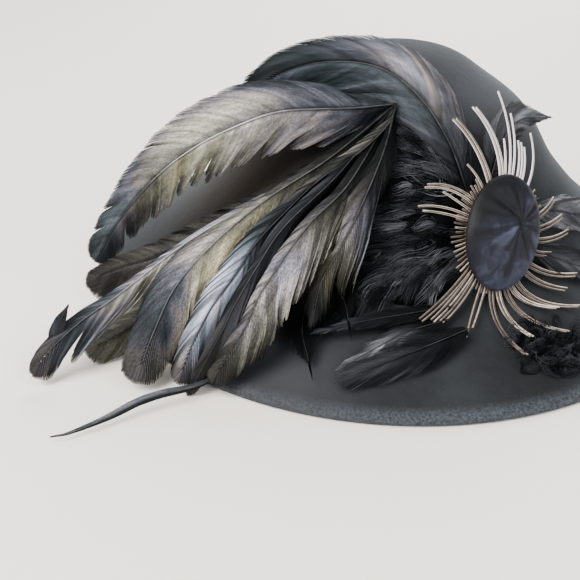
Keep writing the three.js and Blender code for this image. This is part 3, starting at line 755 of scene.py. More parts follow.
            "reach": [0.8, 1, 1.6, 2.4, 3, 2.6, 2.4, 2.4, 2.6, 2.8, 2.4],
            "gloss": [[0, 0, 0.02, 0.02, 0.02, 0.02],
                      [0, 0.02, 0.12, 0.14, 0.1, 0.05]],
            "hue": [0.3, 0.1, 0.05, 0.6],
        },
        "low": {
            "reach": [0.8, 1, 2, 3.5, 5, 5, 5, 5, 4.5, 4, 3],
            "gloss": [[0, 0, 0.01, 0.02, 0.02, 0.02],
                      [0, 0.01, 0.04, 0.12, 0.14, 0.05],
                      [0, 0.01, 0.1, 0.25, 0.25, 0.08]],
            "hue": [0.3, 0.1, 0.1, 0.6],
        },
        "set": {"sweep": 5, "spacing": 0.6, "streak": 1, "lineGap": 0.7, "grain": 0.3, "shaftRoot": 0.3},
        "shaftToneAndPaintedLight": [0, 0.05, 0.2, 0.15, 0.05],
    },
    "frontPlume": {
        "shaft": [sprayRoot, (-26.3, -79, 72.4), (-42.9, -93, 60.4), (-57, -106, 45.4), (-64.1, -114, 36.6),
                  (-67.7, -119, 29), (-73.9, -125, 21.1), (-79, -128.5, 13)],
        "turn": [-10, 10, 15],
        "up": {
            "reach": [0.8, 1.5, 2.5, 3.2, 3, 3.2, 4, 4.8, 5, 4.5, 5],
            "gloss": [0, 0, 0, 0.02, 0.06, 0.22, 0.42, 0.48, 0.3, 0.15, 0.08],
            "hue": [0.5, 0.5, 0.5, 0.45, 0.4, 0.38, 0.36, 0.35, 0.35, 0.5, 0.7],
        },
        "low": {
            "reach": [0.8, 3, 6, 9, 11, 13.5, 14.2, 14.8, 13.5, 11.5, 7],
            "gloss": [[0, 0, 0, 0.02, 0.04, 0.12, 0.36, 0.54, 0.36, 0.18, 0.1],
                      [0, 0, 0.01, 0.03, 0.08, 0.26, 0.55, 0.72, 0.58, 0.28, 0.12],
                      [0, 0, 0.01, 0.05, 0.25, 0.65, 0.95, 0.95, 0.72, 0.3, 0.12]],
            "hue": [[0.6, 0.6, 0.6, 0.7, 0.75, 0.6, 0.35, 0.3, 0.4, 0.6, 0.7],
                    [0.6, 0.6, 0.65, 0.75, 0.8, 0.7, 0.42, 0.38, 0.5, 0.65, 0.75],
                    [0.6, 0.7, 0.8, 0.9, 0.85, 0.75, 0.6, 0.6, 0.65, 0.7, 0.8]],
            "splits": [(0.38, 2.5, 0.5, 0.7), (0.46, 5, 0.35, 0.8), (0.54, 4.5, 0.4, 0.8),
                       (0.61, 3, 0.45, 0.7), (0.68, 5, 0.3, 0.8), (0.76, 3, 0.45, 0.6),
                       (0.85, 2.5, 0.5, 0.5), (0.93, 2, 0.55, 0.4)],
            "set": {"uneven": 0.05, "ragged": 0.05, "openShare": 0.4, "notch": 0.025, "lipShade": 2},
        },
        "set": {"sweep": 2.5, "spacing": 0.7, "streak": 0.95, "lineGap": 0.6, "grain": 0.6, "camber": 0.25,
                "tipReach": 7},
        "shaftToneAndPaintedLight": [0, 0.05, 0.2, 0.2, 0.1],
    },
    "rightPlume": {
        "shaft": [sprayRoot, (-11.9, -69, 82.5), (-21.1, -85, 66.1), (-28.6, -94, 53.2), (-37.2, -103, 41.4),
                  (-40, -107.5, 34), (-40.8, -110, 30)],
        "turn": [-20, -10],
        "up": {
            "reach": [0.8, 1, 2, 2.8, 4.6, 6.7, 9, 10, 9.2, 7.5, 4],
            "gloss": [0, 0, 0, 0.01, 0.02, 0.07, 0.28, 0.3, 0.15, 0.07, 0.02],
            "hue": [0.5, 0.5, 0.5, 0.5, 0.45, 0.4, 0.4, 0.5, 0.9, 1, 0.6],
            "splits": [(0.55, 1.5, 0.4, 0.8), (0.66, 2.5, 0.35, 1), (0.78, 3.5, 0.3, 1), (0.9, 4.5, 0.2, 1)],
            "set": {"ragged": 0.2},
        },
        "low": {
            "reach": [0.8, 2, 5, 7.2, 7, 7, 8, 10.7, 13, 11, 4],
            "gloss": [[0, 0, 0, 0.01, 0.02, 0.06, 0.18, 0.22, 0.14, 0.07, 0.01],
                      [0, 0, 0.01, 0.02, 0.06, 0.2, 0.6, 0.65, 0.35, 0.14, 0.02]],
            "hue": [[0.6, 0.6, 0.6, 0.5, 0.4, 0.35, 0.35, 0.45, 0.9, 1, 0.7],
                    [0.6, 0.6, 0.6, 0.5, 0.4, 0.3, 0.3, 0.3, 0.7, 1, 0.7]],
            "splits": [(0.4, 1.2, 0.5, 0.8), (0.5, 1.8, 0.45, 1), (0.6, 2.4, 0.4, 1), (0.69, 2.6, 0.35, 1),
                       (0.77, 3.2, 0.35, 1), (0.86, 4, 0.3, 1), (0.95, 5, 0.2, 1)],
            "set": {"uneven": 0.12, "ragged": 0.2},
        },
        "set": {"sweep": 3.2, "spacing": 0.7, "streak": 0.95, "lineGap": 0.6, "grain": 0.5, "camber": 0.3,
                "tipReach": 8},
        "shaftToneAndPaintedLight": [0, 0.05, 0.1, 0.05],
    },
    "trailPlume": {
        "shaft": [(-64, -108, 14), (-76, -120, 8.5), (-87, -130, 7), (-101.2, -136.5, 7.2),
                  (-109.9, -141, 6.7), (-121.2, -148, 4.4), (-133.6, -155, 3), (-139, -157, 3)],
        "both": {"reach": [0.5, 0.6, 0.7, 1, 1.3, 1.6, 1.7, 1.6, 1.2, 0.8, 0.3]},
        "up": {"gloss": [0.05, 0.1, 0.4, 0.45, 0.2], "hue": [0.15, 0.1]},
        "low": {"gloss": [0.03, 0.06, 0.1, 0.1], "hue": [0, 0]},
        "set": {"sweep": 3.5, "ripple": 0.1, "streak": 0.2, "shaftRoot": 0.5, "shaftTip": 0.25,
                "tipReach": 2},
        "shaftToneAndPaintedLight": [0.05, 0.15, 0.2, 0.15],
    },
}


def makeSpray(materials):
    for name, row in spray.items():
        piece = joinedMesh(name, featherParts(row, sprayFacing, {}), materials)
        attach(piece, "root")
        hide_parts("coque_spray")
    print("spray:", len(spray), "feathers")


# Shells drawn up as by hand from a circle, through rings of half width, half depth and height
def growRings(name, sides, rings):
    bpy.ops.mesh.primitive_circle_add(vertices=sides, radius=1, location=(0, 0, 0))
    piece = bpy.context.object
    piece.name = name
    bpy.ops.object.mode_set(mode="EDIT")
    bpy.ops.mesh.select_all(action="SELECT")
    halfX, halfY, height = rings[0]
    bpy.ops.transform.resize(value=(halfX, halfY, 1), center_override=(0, 0, 0))
    bpy.ops.transform.translate(value=(0, 0, height))
    for nextX, nextY, nextHeight in rings[1:]:
        bpy.ops.mesh.extrude_edges_move(TRANSFORM_OT_translate={"value": (0, 0, nextHeight - height)})
        bpy.ops.transform.resize(value=(nextX / halfX, nextY / halfY, 1), center_override=(0, 0, nextHeight))
        halfX, halfY, height = nextX, nextY, nextHeight
    bpy.ops.object.mode_set(mode="OBJECT")
    return piece


# Fills the ring of vertices that starts at the given one, with its middle at the given height
def fillRing(piece, first, sides, height):
    for part in (piece.data.vertices, piece.data.edges, piece.data.polygons):
        part.foreach_set("select", np.zeros(len(part), bool))
    for vertex in piece.data.vertices[first:first + sides]:
        vertex.select = True
    bpy.ops.object.mode_set(mode="EDIT")
    bpy.ops.mesh.select_mode(type="VERT")
    bpy.ops.mesh.edge_face_add()
    bpy.ops.mesh.poke()
    bpy.ops.object.mode_set(mode="OBJECT")
    piece.data.vertices[-1].co.z = height


# Makes all faces point outwards, after each is cut finer where that is asked
def pointOutwards(piece, cuts=0):
    bpy.ops.object.mode_set(mode="EDIT")
    bpy.ops.mesh.select_all(action="SELECT")
    if cuts:
        bpy.ops.mesh.subdivide(number_cuts=cuts, smoothness=0)
    bpy.ops.mesh.normals_make_consistent(inside=False)
    bpy.ops.object.mode_set(mode="OBJECT")


def clamped(value):
    return min(max(value, 0), 1)


# Felt: outer face from the top of the crown to the brim's edge, as height and half widths
feltShape = {
    "rows": [(110, 0, 0), (108.5, 18, 15), (104, 31, 27), (96, 43, 39), (87, 56, 49.5), (79, 64.5, 57),
             (68, 71.5, 64), (58, 77.5, 69), (48, 86, 74), (38, 96, 80.5), (30, 106, 87.5), (22, 116.5, 98),
             (14, 129, 115), (8, 139.5, 134), (4.4, 145.5, 147)],
    "wall": 2.8,
    "around": 112,
    "faceRings": 44,
    # height, wider than the brim
    "edge": [(3.0, 1.5), (1.8, 1.9), (0.5, 1.4), (0.0, 0.6), (0.0, -5.4), (1.2, -6.0)],
    "unevenness": 0.7,
    "unevenReach": 45,
    "unevenFrom": (8, 30),     # height where it starts, and how far above that it is full
}
feltCurve, _ = smoothCurve([(x, y, z) for z, x, y in feltShape["rows"]], 400)


def feltHalves(height):
    return tuple(np.interp(height, feltCurve[::-1, 2], feltCurve[::-1, k]) for k in (0, 1))


# A point of the outer face on the trim side, by x and height, moved out by lift
def onTrimSide(x, height, lift):
    halfX, halfY = feltHalves(height)
    above, below = feltHalves(height + 1), feltHalves(height - 1)
    angle = -np.arccos(np.clip(x / halfX, -1, 1))
    cos, sin = np.cos(angle), np.sin(angle)
    slope = np.hypot((below[0] - above[0]) * cos, (below[1] - above[1]) * sin) / 2
    normal = unit(np.array([cos / halfX, sin / halfY, 0]))
    normal[2] = slope
    return np.array([halfX * cos, halfY * sin, height]) + unit(normal) * lift


# Height of the outer face over a place on the brim
def feltTop(x, y):
    shares = np.hypot(x / feltCurve[1:, 0], y / feltCurve[1:, 1])
    return feltCurve[1:, 2][np.argmin(np.abs(shares - 1))]


# Down the outer face, round the turned edge and up the inner face, which lies one wall square to the outer
def feltRings():
    along = np.linspace(0, 1, feltShape["faceRings"] + 2)[1:]
    index = np.linspace(0, 1, len(feltCurve))
    outer = tableAt(along, index, feltCurve)
    down = tableAt(along, index, unit(np.gradient(feltCurve, axis=0)))
    flat = np.hypot(down[:, 0], down[:, 1]) / math.sqrt(2)
    inwards = np.stack([down[:, 2], down[:, 2], -flat], 1)
    inwards = inwards / np.hypot(inwards[:, :1], inwards[:, 2:])
    inner = (outer + inwards * feltShape["wall"])[:-2]
    edge = [(outer[-1, 0] + wider, outer[-1, 1] + wider, height) for height, wider in feltShape["edge"]]
    return np.vstack([outer, edge, inner[::-1]])


# Attributes for the felt's finish: how much painted highlight its edge has, and where painted light is laid
# on
def paintFelt(piece):
    halfX, halfY = feltCurve[-1, 0] * mm, feltCurve[-1, 1] * mm
    edgeHighlight = piece.data.attributes.new("edgeHighlight", "FLOAT", "POINT")
    for vertex, value in zip(piece.data.vertices, edgeHighlight.data):
        oval = math.hypot(vertex.co.x / halfX, vertex.co.y / halfY)
        resting = vertex.co.z <= feltFinish["underBelow"] * mm
        value.value = (clamped((oval - feltFinish["highlightFrom"]) / feltFinish["highlightOver"])
                       * (feltFinish["highlightWhereResting"] if resting else 1))
    for name, places in (("bounceLightShare", feltFinish["paintedBouncePlaces"]), ("paintedLightShare", feltFinish["paintedLightPlaces"])):
        tint = piece.data.attributes.new(name, "FLOAT", "POINT")
        for vertex, value in zip(piece.data.vertices, tint.data):
            value.value = sum(most * math.exp(-(((vertex.co / mm - Vector(place)).length / reach) ** 2))
                              for place, reach, most in places)


def makeFelt(material):
    piece = growRings("feltBody", feltShape["around"], feltRings() * mm)
    top = feltShape["rows"][0][0]
    fillRing(piece, 0, feltShape["around"], top * mm)
    # the last ring comes before the middle that the first fill added
    last = len(piece.data.vertices) - 1 - feltShape["around"]
    fillRing(piece, last, feltShape["around"], (top - feltShape["wall"]) * mm)
    pointOutwards(piece)
    paintFelt(piece)
    group = piece.vertex_groups.new(name="uneven")
    start, rise = feltShape["unevenFrom"]
    for vertex in piece.data.vertices:
        group.add([vertex.index], clamped((vertex.co.z / mm - start) / rise), "REPLACE")
    texture = bpy.data.textures.new("softUnevenness", "CLOUDS")
    texture.noise_scale = feltShape["unevenReach"] * mm
    displace = piece.modifiers.new("unevenness", "DISPLACE")
    displace.texture = texture
    displace.texture_coords = "LOCAL"
    displace.vertex_group = "uneven"
    displace.strength = feltShape["unevenness"] * mm
    displace.mid_level = 0.5
    rounder = piece.modifiers.new("rounder", "SUBSURF")
    rounder.levels = rounder.render_levels = 1
    for modifier in list(piece.modifiers):
        bpy.ops.object.modifier_apply(modifier=modifier.name)
    bpy.ops.object.shade_smooth()
    piece.data.materials.append(material)
    piece.select_set(False)
    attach(piece, "root")
    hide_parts("felt_body")
    print("felt:", len(piece.data.polygons), "faces")


# Medallion: an oval covered button
padShape = {
    "centre": (39, -79, 49.3), "facing": (0.43, -0.8, 0.42), "lean": 27, "halfLong": 24.3, "halfWide": 18.7,
    "sides": 96, "cuts": 3,
    # share of the oval and height above the back
    "rows": [(0.97, 0), (1.03, 1.2), (1, 2.4), (0.93, 3.6), (0.85, 4.65), (0.72, 5.5), (0.6, 6.15),
             (0.45, 6.7), (0.3, 7.1), (0.15, 7.3)],
    "height": 7.4,
    "foldsFrom": 2,            # height above the back
    "creaseCentre": (0.28, 0.12),
    "pinch": (0.8, 0.09),      # depth and reach
    "foldDepth": 0.45,
    "foldStart": 0.25,         # from the pinch to where the folds are full
    # how many round the pinch, size, phase, how much they bend outwards
    "folds": [(2, 0.7, 0.4, 1.5), (3, 0.7, 2.6, -1.2), (7, 0.55, 4.0, 1.6), (12, 0.4, 1.0, -0.9),
              (19, 0.3, 5.0, 0.8)],
    # painted light: folds that stand up are paler, and painted shade darkens the pad towards its upper left
    "tone": 0.38, "foldPaintedLight": -0.55, "paintedLightAcross": 0.2, "paintedLightUp": -0.55,
}
padCentre = np.array(padShape["centre"], float)
padFacing = unit(np.array(padShape["facing"]))
padUp = unit(np.array([0, 0, 1]) - padFacing * padFacing[2])
padRight = np.cross(padUp, padFacing)


def padSpoke(angle):
    return padUp * math.cos(angle) + padRight * math.sin(angle)


def onPad(angle, share, out):
    fromLong = angle - math.radians(padShape["lean"])
    reach = 1 / math.hypot(math.cos(fromLong) / padShape["halfLong"],
                           math.sin(fromLong) / padShape["halfWide"])
    return padCentre + padSpoke(angle) * reach * share + padFacing * out


# Depth of the soft folds that run out from a pinched point off the pad's centre
def foldAt(x, y, share):
    pinchX, pinchY = padShape["creaseCentre"]
    pinchDepth, pinchReach = padShape["pinch"]
    away = math.hypot(x - pinchX, y - pinchY)
    angle = math.atan2(x - pinchX, y - pinchY)
    depth = sum(size * math.cos(times * angle + phase + bend * away)
                for times, size, phase, bend in padShape["folds"])
    fade = min(away / padShape["foldStart"], 1) * max(0, 1 - share**5)
    return padShape["foldDepth"] * depth * fade + pinchDepth * math.exp(-((away / pinchReach) ** 2))


def makeMedallion(material):
    sides = padShape["sides"]
    piece = growRings("medallionPad", sides, [(size, size, height) for size, height in padShape["rows"]])
    fillRing(piece, len(piece.data.vertices) - sides, sides, padShape["height"])
    fillRing(piece, 0, sides, padShape["rows"][0][1])
    pointOutwards(piece, padShape["cuts"])
    # the fold attribute holds painted light: raised folds paler, hollows darker, the upper left in painted
    # shade
    folds = piece.data.attributes.new("fold", "FLOAT", "POINT")
    for vertex, value in zip(piece.data.vertices, folds.data):
        x, y, height = vertex.co
        share = math.hypot(x, y)
        fold = foldAt(x, y, share) if height > padShape["foldsFrom"] else 0
        slope = (padShape["paintedLightAcross"] * x + padShape["paintedLightUp"] * y) * share
        value.value = clamped(padShape["tone"] + padShape["foldPaintedLight"] * fold + slope)
        vertex.co = Vector(onPad(math.atan2(x, y), share, height - fold)) * mm
    bpy.ops.object.shade_smooth()
    piece.data.materials.append(material)
    piece.select_set(False)
    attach(piece, "root")
    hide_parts("medallion")
    print("medallion:", len(piece.data.polygons), "faces")


# Quills: clipped shafts and stubs that ring the pad, on a thin plate under it
quillSet = {
    "radius": 0.56, "taper": (1.08, 0.78),     # of the radius, from root to tip
    "bend": 0.55, "rings": 14, "corners": 16,
    "rootShare": 0.855, "plate": -1.15,        # share of the oval and height where quills start
    "groove": 0.35, "grooveWidth": 0.6,        # radius left in it, and half its width in radians
    # painted shade that darkens the groove
    "grooveShade": 0.7,
    "outFrom": (0, 0, 40),                     # grooves face away from this point in the crown
    "twinGap": 1.75, "twinShade": 0.12,
    "plateShare": 0.95, "plateSides": 48, "plateFaces": (-1.95, -0.35), "plateTone": 0.2,
    # place on the pad's edge in degrees from its top towards the front, tip, how many side by side, tone,
    # darker on the lower left ones as painted shade
    "long": [
        (-4, (16, -67, 95), 2, 0.62), (13, (25, -60, 98), 2, 0.85), (19, (40, -59, 84), 1, 0.9),
        (24, (37, -51, 102), 1, 0.9), (28, (43, -53, 93), 1, 0.95), (34, (47, -56, 82), 2, 0.95),
        (41, (50, -56, 79), 1, 0.9), (50, (53, -52, 84), 1, 0.8), (-13, (23, -71, 77), 1, 0.5),
        (-38, (4, -84, 72), 2, 0.55), (-47, (12, -81, 69), 1, 0.55), (-55, (1, -89, 66), 1, 0.5),
        (-61, (3, -89, 64), 1, 0.5), (-125, (3, -110, 24), 2, 0.25), (-130, (8, -109, 23), 2, 0.4),
        (-136, (12, -108, 22), 2, 0.3), (-144, (21, -114, 19), 1, 0.25), (-150, (24, -110, 21), 1, 0.35),
        (-159, (45, -121, 15), 2, 0.2), (-167, (49, -112, 18), 2, 0.5), (-176, (65, -108, 18), 2, 0.3),
        (177, (63, -97, 23), 2, 0.55), (168, (74, -92, 21), 2, 0.45), (152, (69, -86, 26), 2, 0.4),
        (141, (75, -78, 29), 2, 0.45), (125, (70, -69, 36), 2, 0.4), (110, (73, -63, 43), 2, 0.4),
        (96, (70, -60, 49), 2, 0.4), (82, (66, -57, 56), 2, 0.35),
    ],
    # from, to, count, length
    "stubs": [(-17, -64, 12, 4.2), (-68, -121, 12, 5.5), (58, 80, 5, 4), (-140, -165, 5, 3)],
    "stubLengths": (0.7, 1.2), "stubTones": (0.05, 0.45),
}


def quillPath(angle, tip, sideways):
    start = onPad(angle, quillSet["rootShare"], quillSet["plate"])
    spoke = padSpoke(angle)
    bend = start + spoke * quillSet["bend"] * np.linalg.norm(np.array(tip) - start)
    shift = np.cross(spoke, padFacing) * sideways
    t = np.linspace(0, 1, quillSet["rings"])[:, None]
    return (1 - t) ** 2 * start + 2 * t * (1 - t) * bend + t**2 * np.array(tip, float) + shift


# A clipped quill: a tube with a groove down its outer side, cut off square, the groove painted darker as
# shade
def quillPart(angle, tip, sideways, tone):
    path = quillPath(angle, tip, sideways)
    tangent = unit(np.gradient(path, axis=0))
    face = unit(squareTo(tangent, path - np.array(quillSet["outFrom"])))
    side = np.cross(face, tangent)
    turn = np.arange(quillSet["corners"]) * 2 * np.pi / quillSet["corners"]
    inGroove = np.maximum(1 - np.abs(turn - np.pi / 2) / quillSet["grooveWidth"], 0)
    grooved = 1 - (1 - quillSet["groove"]) * inGroove
    radius = quillSet["radius"] * np.linspace(*quillSet["taper"], len(path))[:, None, None]
    points = path[:, None] + radius * (side[:, None] * (np.cos(turn) * grooved)[None, :, None]
                                       + face[:, None] * (np.sin(turn) * grooved)[None, :, None])
    return tubePart(points[None], gloss=tone - quillSet["grooveShade"] * np.minimum(1.5 * inGroove, 1))


def makeQuills(material):
    plate = quillSet["plate"]
    parts = []
    for degrees, tip, twins, tone in quillSet["long"]:
        for twin in range(twins):
            parts.append(quillPart(math.radians(degrees), tip, twin * quillSet["twinGap"],
                                   tone - quillSet["twinShade"] * twin))
    for start, stop, count, length in quillSet["stubs"]:
        for degrees in np.linspace(start, stop, count):
            angle = math.radians(degrees)
            reach = length * draw.uniform(*quillSet["stubLengths"])
            parts.append(quillPart(angle, onPad(angle, 1, plate) + padSpoke(angle) * reach, 0,
                                   draw.uniform(*quillSet["stubTones"])))
    around = np.arange(quillSet["plateSides"]) * 2 * math.pi / quillSet["plateSides"]
    rings = np.array([[onPad(angle, quillSet["plateShare"], out) for angle in around]
                      for out in quillSet["plateFaces"]])
    parts.append(tubePart(rings[None, :, ::-1], gloss=quillSet["plateTone"]))
    piece = joinedMesh("clippedQuills", parts, [material])
    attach(piece, "root")
    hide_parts("quill_ring")
    print("quills:", len(piece.data.polygons), "faces")


# Hackle: locks of soft strands that fall from under the medallion, over a dark ground that hugs the crown
hackleSet = {
    "centre": (0, 50), "half": (34, 27), "thickness": 2.2, "clear": 0.35,
    "groundRows": 14, "groundSides": 36, "groundBack": (0.98, 0.5, 0.1),    # its rings, the back as shares
    # x and height of root and tip, lift at the middle
    "locks": [
        ((10, 66), (-24, 74), 3.5), ((10, 60), (-30, 60), 3.5), ((10, 54), (-37, 50), 3.5),
        ((10, 50), (-42, 40), 3.5), ((8, 44), (-44, 31), 3.5), ((4, 42), (-38, 24), 3.5),
        ((-6, 38), (-56, 16.5), 3.5), ((-8, 36), (-47, 12.5), 3.5), ((-4, 36), (-40, 12), 3.5),
        ((0, 38), (-34, 14), 3.5), ((8, 38), (-24, 19), 3.5), ((14, 38), (-12, 20), 3.5),
        ((20, 36), (0, 20), 3.5), ((6, 72), (-12, 86), 2.8), ((8, 70), (-3, 87), 2.8),
        ((11, 66), (5, 80), 2.8),
    ],
    "layers": 5, "curls": 4, "strands": 16, "rings": 7,
    "rootLift": 1.8, "tipLift": 1.6,
    "upperLifts": (1.5, 1.8, 1.6),    # how much higher the top layer's root, middle and tip lie
    "scatter": 3.5,                   # of each curl's root and tip
    "upperRoot": (9, -1),             # how far the top layer starts from the lowest
    "upperTip": 0.35,                 # share of a lock by which it falls short
    "middle": (1.5, 2.5),             # a lock bows out by this
    "curlLength": (14, 27), "curlWidth": 2.6, "curlLean": (-3, 4), "wave": 1.3, "shine": 0.75,
    "strandRadius": 0.13, "strandLengths": (0.7, 1.05), "strandShines": (0.4, 1.2),
    "flatter": 0.8,                   # of the height in the direction that counts as outwards
}


# Strands of one curl along a path: close at its root, apart in its middle, swaying more towards its tip
def curlPart(path, length, begin, lean, shine):
    count = hackleSet["strands"]
    t = np.linspace(0, 1, hackleSet["rings"])[None, :]
    curve, total = smoothCurve(path, 60)
    steps = np.linspace(0, 1, len(curve))
    span = min(length / total, 1)
    reach = span * t * draw.uniform(*hackleSet["strandLengths"], count)[:, None]
    at = np.clip(begin * (1 - span) + reach, 0, 1)
    centres = tableAt(at, steps, curve)
    ahead = tableAt(at, steps, unit(np.gradient(curve, axis=0)))
    outward = unit(centres * np.array([1, 1, hackleSet["flatter"]]))
    side = unit(np.cross(outward, ahead))
    spread = draw.normal(0, 0.5, count)[:, None] * hackleSet["curlWidth"]
    phase = draw.uniform(0, 2 * math.pi)
    sway = hackleSet["wave"] * np.sin(phase + 5.5 * t) * t
    across = spread * (0.25 + 0.9 * np.sin(np.pi * t**0.8) - 0.3 * t**3) + lean * t**1.6 + sway
    lift = 0.8 * np.sin(phase + 2 + 5 * t) * t + draw.normal(0, 0.3, count)[:, None] * t
    centres = centres + side * across[..., None] + outward * lift[..., None]
    along = unit(np.gradient(centres, axis=1))
    over = unit(np.cross(outward, along))
    up = np.cross(along, over)
    radius = (hackleSet["strandRadius"] * (1.05 - t**2))[..., None]
    points = np.stack([centres + over * radius, centres + up * radius * 0.7, centres - over * radius], axis=2)
    shines = draw.uniform(*hackleSet["strandShines"], count)[:, None]
    # painted sheen along each strand, brightest at its middle
    gloss = shine * (0.35 + 0.65 * np.sin(np.pi * t)) * shines
    return tubePart(points, gloss=gloss[..., None], hue=0.2 + 0.5 * shine, barb=1.0, grain=0.0)


def groundPart():
    centre, half, clear = np.array(hackleSet["centre"]), np.array(hackleSet["half"]), hackleSet["clear"]
    turns = np.arange(hackleSet["groundSides"]) * 2 * np.pi / hackleSet["groundSides"]
    around = half * np.stack([np.cos(turns), np.sin(turns)], 1)
    shares = np.arange(1, hackleSet["groundRows"] + 1) / hackleSet["groundRows"]
    front = [(share, clear + hackleSet["thickness"] * math.sqrt(1 - share**2 * 0.98)) for share in shares]
    back = [(share, clear) for share in hackleSet["groundBack"]]
    rings = [[onTrimSide(*(centre + share * place), lift) for place in around]
             for share, lift in front + back]
    return tubePart(np.array(rings)[None, :, ::-1], gloss=0.0, hue=0.0, barb=1.0, grain=0.0)


# One curl of a lock: near is 0 in the lowest layer and 1 in the top one
def lockCurl(root, tip, lift, near):
    root, tip = np.array(root), np.array(tip)
    shift = draw.uniform(-hackleSet["scatter"], hackleSet["scatter"], 4)
    start = root + shift[:2] + np.array(hackleSet["upperRoot"]) * near
    end = tip + shift[2:] + (root - tip) * hackleSet["upperTip"] * near
    middle = (start + end) / 2 + np.array(hackleSet["middle"])
    lowest = np.array([hackleSet["rootLift"], lift, hackleSet["tipLift"]])
    lifts = lowest + np.array(hackleSet["upperLifts"]) * near
    path = [onTrimSide(*place, height) for place, height in zip((start, middle, end), lifts)]
    return curlPart(path, draw.uniform(*hackleSet["curlLength"]), draw.uniform(0, 1),
                    draw.uniform(*hackleSet["curlLean"]), hackleSet["shine"] * draw.uniform(0, 1) ** 1.7)


def makeHackle(material):
    parts = [groundPart()]
    for near in np.linspace(0, 1, hackleSet["layers"]):
        for root, tip, lift in hackleSet["locks"]:
            parts += [lockCurl(root, tip, lift, near) for _ in range(hackleSet["curls"])]
    piece = joinedMesh("hacklePad", parts, [material])
    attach(piece, "root")
    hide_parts("hackle_pad")
    print("hackle:", len(piece.data.polygons), "faces")


# Black feathers that lie on the brim, under the spray and at the front of the pad.
# Half widths above and below the shaft, and painted sheen along the vane and along its edge
blackVane = {"sweep": 3.2, "spacing": 0.5, "overlap": 1.25, "ripple": 0.9, "rippleLength": 3, "ragged": 0.15,
             "stray": 0.25, "streak": 0.9, "camber": 0.12, "tipReach": 9, "shaftRoot": 0.35, "shaftTip": 0.1,
             "thinnest": 0.1, "grain": 0.3}
brimFacing = (-10, -260, 300)
brimRows = [
    {"shaft": [(22, -111, 21), (6, -118, 18), (-9, -125, 16), (-25, -131, 13)],
     "up": [2, 5, 8, 8, 7, 6], "low": [2, 6, 9, 9, 8, 6], "sheen": [0.03, 0.07, 0.15, 0.28, 0.3],
     "edge": [0.03, 0.07, 0.22, 0.38, 0.4], "set": {"streak": 0.8}},
    {"shaft": [(14, -107, 23), (-3, -111.5, 20), (-14, -117, 17), (-25, -123.5, 14.5)],
     "up": [1, 3, 5, 5, 4, 2], "low": [1, 3, 4, 4, 3, 2], "sheen": [0.02, 0.05, 0.6, 0.9, 0.5],
     "edge": [0.02, 0.05, 0.8, 1, 0.8], "set": {"streak": 1, "lineGap": 0.9}},
    {"shaft": [(16, -103, 27), (-2, -105.5, 25), (-20, -108, 23), (-34, -111, 21)],
     "up": [1, 3, 4, 4, 3, 2], "low": [1, 3, 4, 4, 3, 1], "sheen": [0.02, 0.02, 0.05, 0.1, 0.3],
     "edge": [0.02, 0.05, 0.1, 0.2, 0.5]},
]
splitSheen = {"sheen": [0, 0.01, 0], "edge": [0.01, 0.03, 0]}
splitRows = [
    {"shaft": [(-38, -84, 38), (-43, -95, 28), (-46, -109, 20), (-43.5, -125, 14.5)],
     "up": [3, 7, 9, 9, 6.5, 0.4], "low": [3, 8, 10, 10, 7, 0.4], **splitSheen},
    {"shaft": [(-35, -86, 37), (-31, -95, 31), (-28, -101, 27), (-27, -108, 23)],
     "up": [2, 5, 7, 7, 4, 0.3], "low": [2, 5, 7, 7, 4, 0.3], **splitSheen},
    {"shaft": [(-40, -84, 38), (-52, -96, 28), (-58, -106, 21), (-60, -113, 17)],
     "up": [2, 5, 7, 7, 4, 0.3], "low": [2, 5, 7, 7, 4, 0.3], **splitSheen},
]
frontFacing = (260, -300, 200)
frontRows = [
    {"shaft": [(46, -62, 52), (68, -56, 49), (86, -46, 42), (99, -33, 38)],
     "up": [2, 5, 8, 8, 7, 5], "low": [2, 5, 8, 8, 7, 5], "sheen": [0.3, 0.5, 0.4], "edge": [0.6, 0.9, 0.7]},
    {"shaft": [(46, -70, 42), (72, -74, 32), (92, -70, 25), (106, -62, 22)],
     "up": [2, 5, 7, 7, 6, 5], "low": [2, 5, 8, 8, 7, 5], "sheen": [0.2, 0.4, 0.3], "edge": [0.4, 0.6, 0.5]},
    {"shaft": [(36, -60, 66), (41, -52, 79), (49, -47, 88), (63, -42, 87.5)],
     "up": [3, 7, 9, 8, 4, 0.4], "low": [3, 8, 11, 10, 5, 0.6],
     "sheen": [0.14, 0.38, 0.6, 0.45], "edge": [0.14, 0.38, 0.65, 0.45],
     "set": {"sweep": 2.2, "overlap": 1.4, "ripple": 0.3, "ragged": 0.05, "stray": 0.2, "tipReach": 2}},
]


def blackFeathers(name, rows, facing, materials, node):
    parts = []
    for row in rows:
        painted = {"gloss": [row["sheen"], row["sheen"], row["edge"]], "hue": [row["sheen"], row["edge"]]}
        sides = {"both": painted, "up": {"reach": row["up"]}, "low": {"reach": row["low"]}}
        parts += featherParts({**row, **sides, "shaftToneAndPaintedLight": [0, 0.1]}, facing, blackVane)
    piece = joinedMesh(name, parts, materials)
    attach(piece, "root")
    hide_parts(node)
    print(name + ":", len(piece.data.polygons), "faces")


# Tuft: short curls of down that lie on the brim in all directions, and fine bare loops among them
tuftSet = {
    "centre": (57, -114), "spread": (19, 13), "scatter": 0.35, "curls": 100, "loops": 14,
    "length": (10, 19), "steps": 3, "turn": (1.4, 3.4), "flatter": 0.75,
    "clear": 0.7, "rise": (0.6, 5.0), "rises": (0.3, 1, 1, 0.4), "lean": (-3, 3), "shine": 0.5,
    "loopFacing": (58, -112, 400), "loopRadii": (0.11, 0.06), "loopTones": [0.2, 0.4], "loopCorners": 4,
}


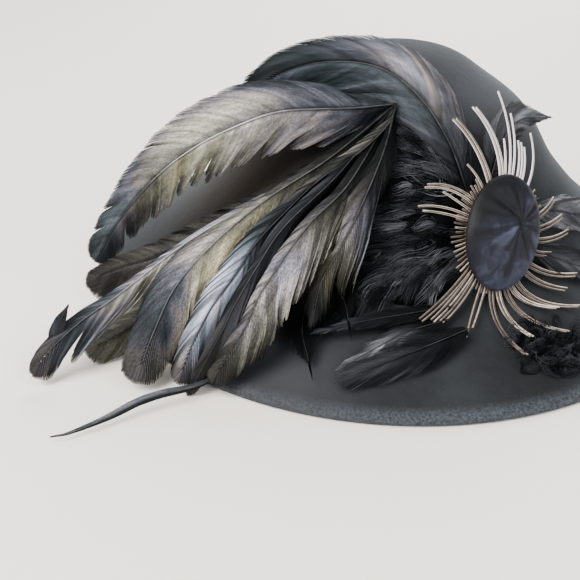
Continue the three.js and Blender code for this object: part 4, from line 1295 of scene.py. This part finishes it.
def tuftPart(loop):
    place = np.array(tuftSet["centre"]) + draw.normal(0, tuftSet["scatter"], 2) * tuftSet["spread"]
    heading = draw.uniform(0, 2 * math.pi)
    turn = draw.uniform(*tuftSet["turn"]) * draw.choice([-1, 1]) / (tuftSet["steps"] / 2)
    length = draw.uniform(*tuftSet["length"])
    path = [place]
    for _ in range(tuftSet["steps"]):
        ahead = np.array([math.cos(heading), tuftSet["flatter"] * math.sin(heading)])
        path.append(path[-1] + length / tuftSet["steps"] * ahead)
        heading += turn
    rise = draw.uniform(*tuftSet["rise"])
    points = [(x, y, feltTop(x, y) + tuftSet["clear"] + rise * share)
              for (x, y), share in zip(path, tuftSet["rises"])]
    if loop:
        shaft = shaftFrame(points, tuftSet["loopFacing"], [0, 0])
        return shaftTube(shaft, *tuftSet["loopRadii"], tuftSet["loopTones"], tuftSet["loopCorners"])
    lean = draw.uniform(*tuftSet["lean"])
    return curlPart(points, length, 0, lean, tuftSet["shine"] * draw.uniform(0, 1) ** 2)


def makeTuft(materials):
    kinds = [False] * tuftSet["curls"] + [True] * tuftSet["loops"]
    piece = joinedMesh("downTuft", [tuftPart(loop) for loop in kinds], materials)
    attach(piece, "root")
    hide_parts("side_tuft")
    print("tuft:", len(piece.data.polygons), "faces")


makeStage()
darkShaft = makeHornMaterial("darkShaft")
plumeMaterials = [makePlumeMaterial("roosterPlume", plumeFinish), darkShaft]
hackleMaterials = [makePlumeMaterial("blackHackle", hackleFinish), darkShaft]
felt = makeFeltMaterial()
clippedHorn = makeHornMaterial("clippedHorn")
satin = makeSatinMaterial()
print("materials: ready")
makeFelt(felt)
makeMedallion(satin)
makeQuills(clippedHorn)
makeHackle(hackleMaterials[0])
makeSpray(plumeMaterials)
blackFeathers("brimFeather", brimRows, brimFacing, hackleMaterials, "brim_feather")
blackFeathers("frontFeathers", frontRows, frontFacing, hackleMaterials, "hackle_pad")
blackFeathers("splitEnds", splitRows, sprayFacing, hackleMaterials, "hackle_pad")
makeTuft(hackleMaterials)
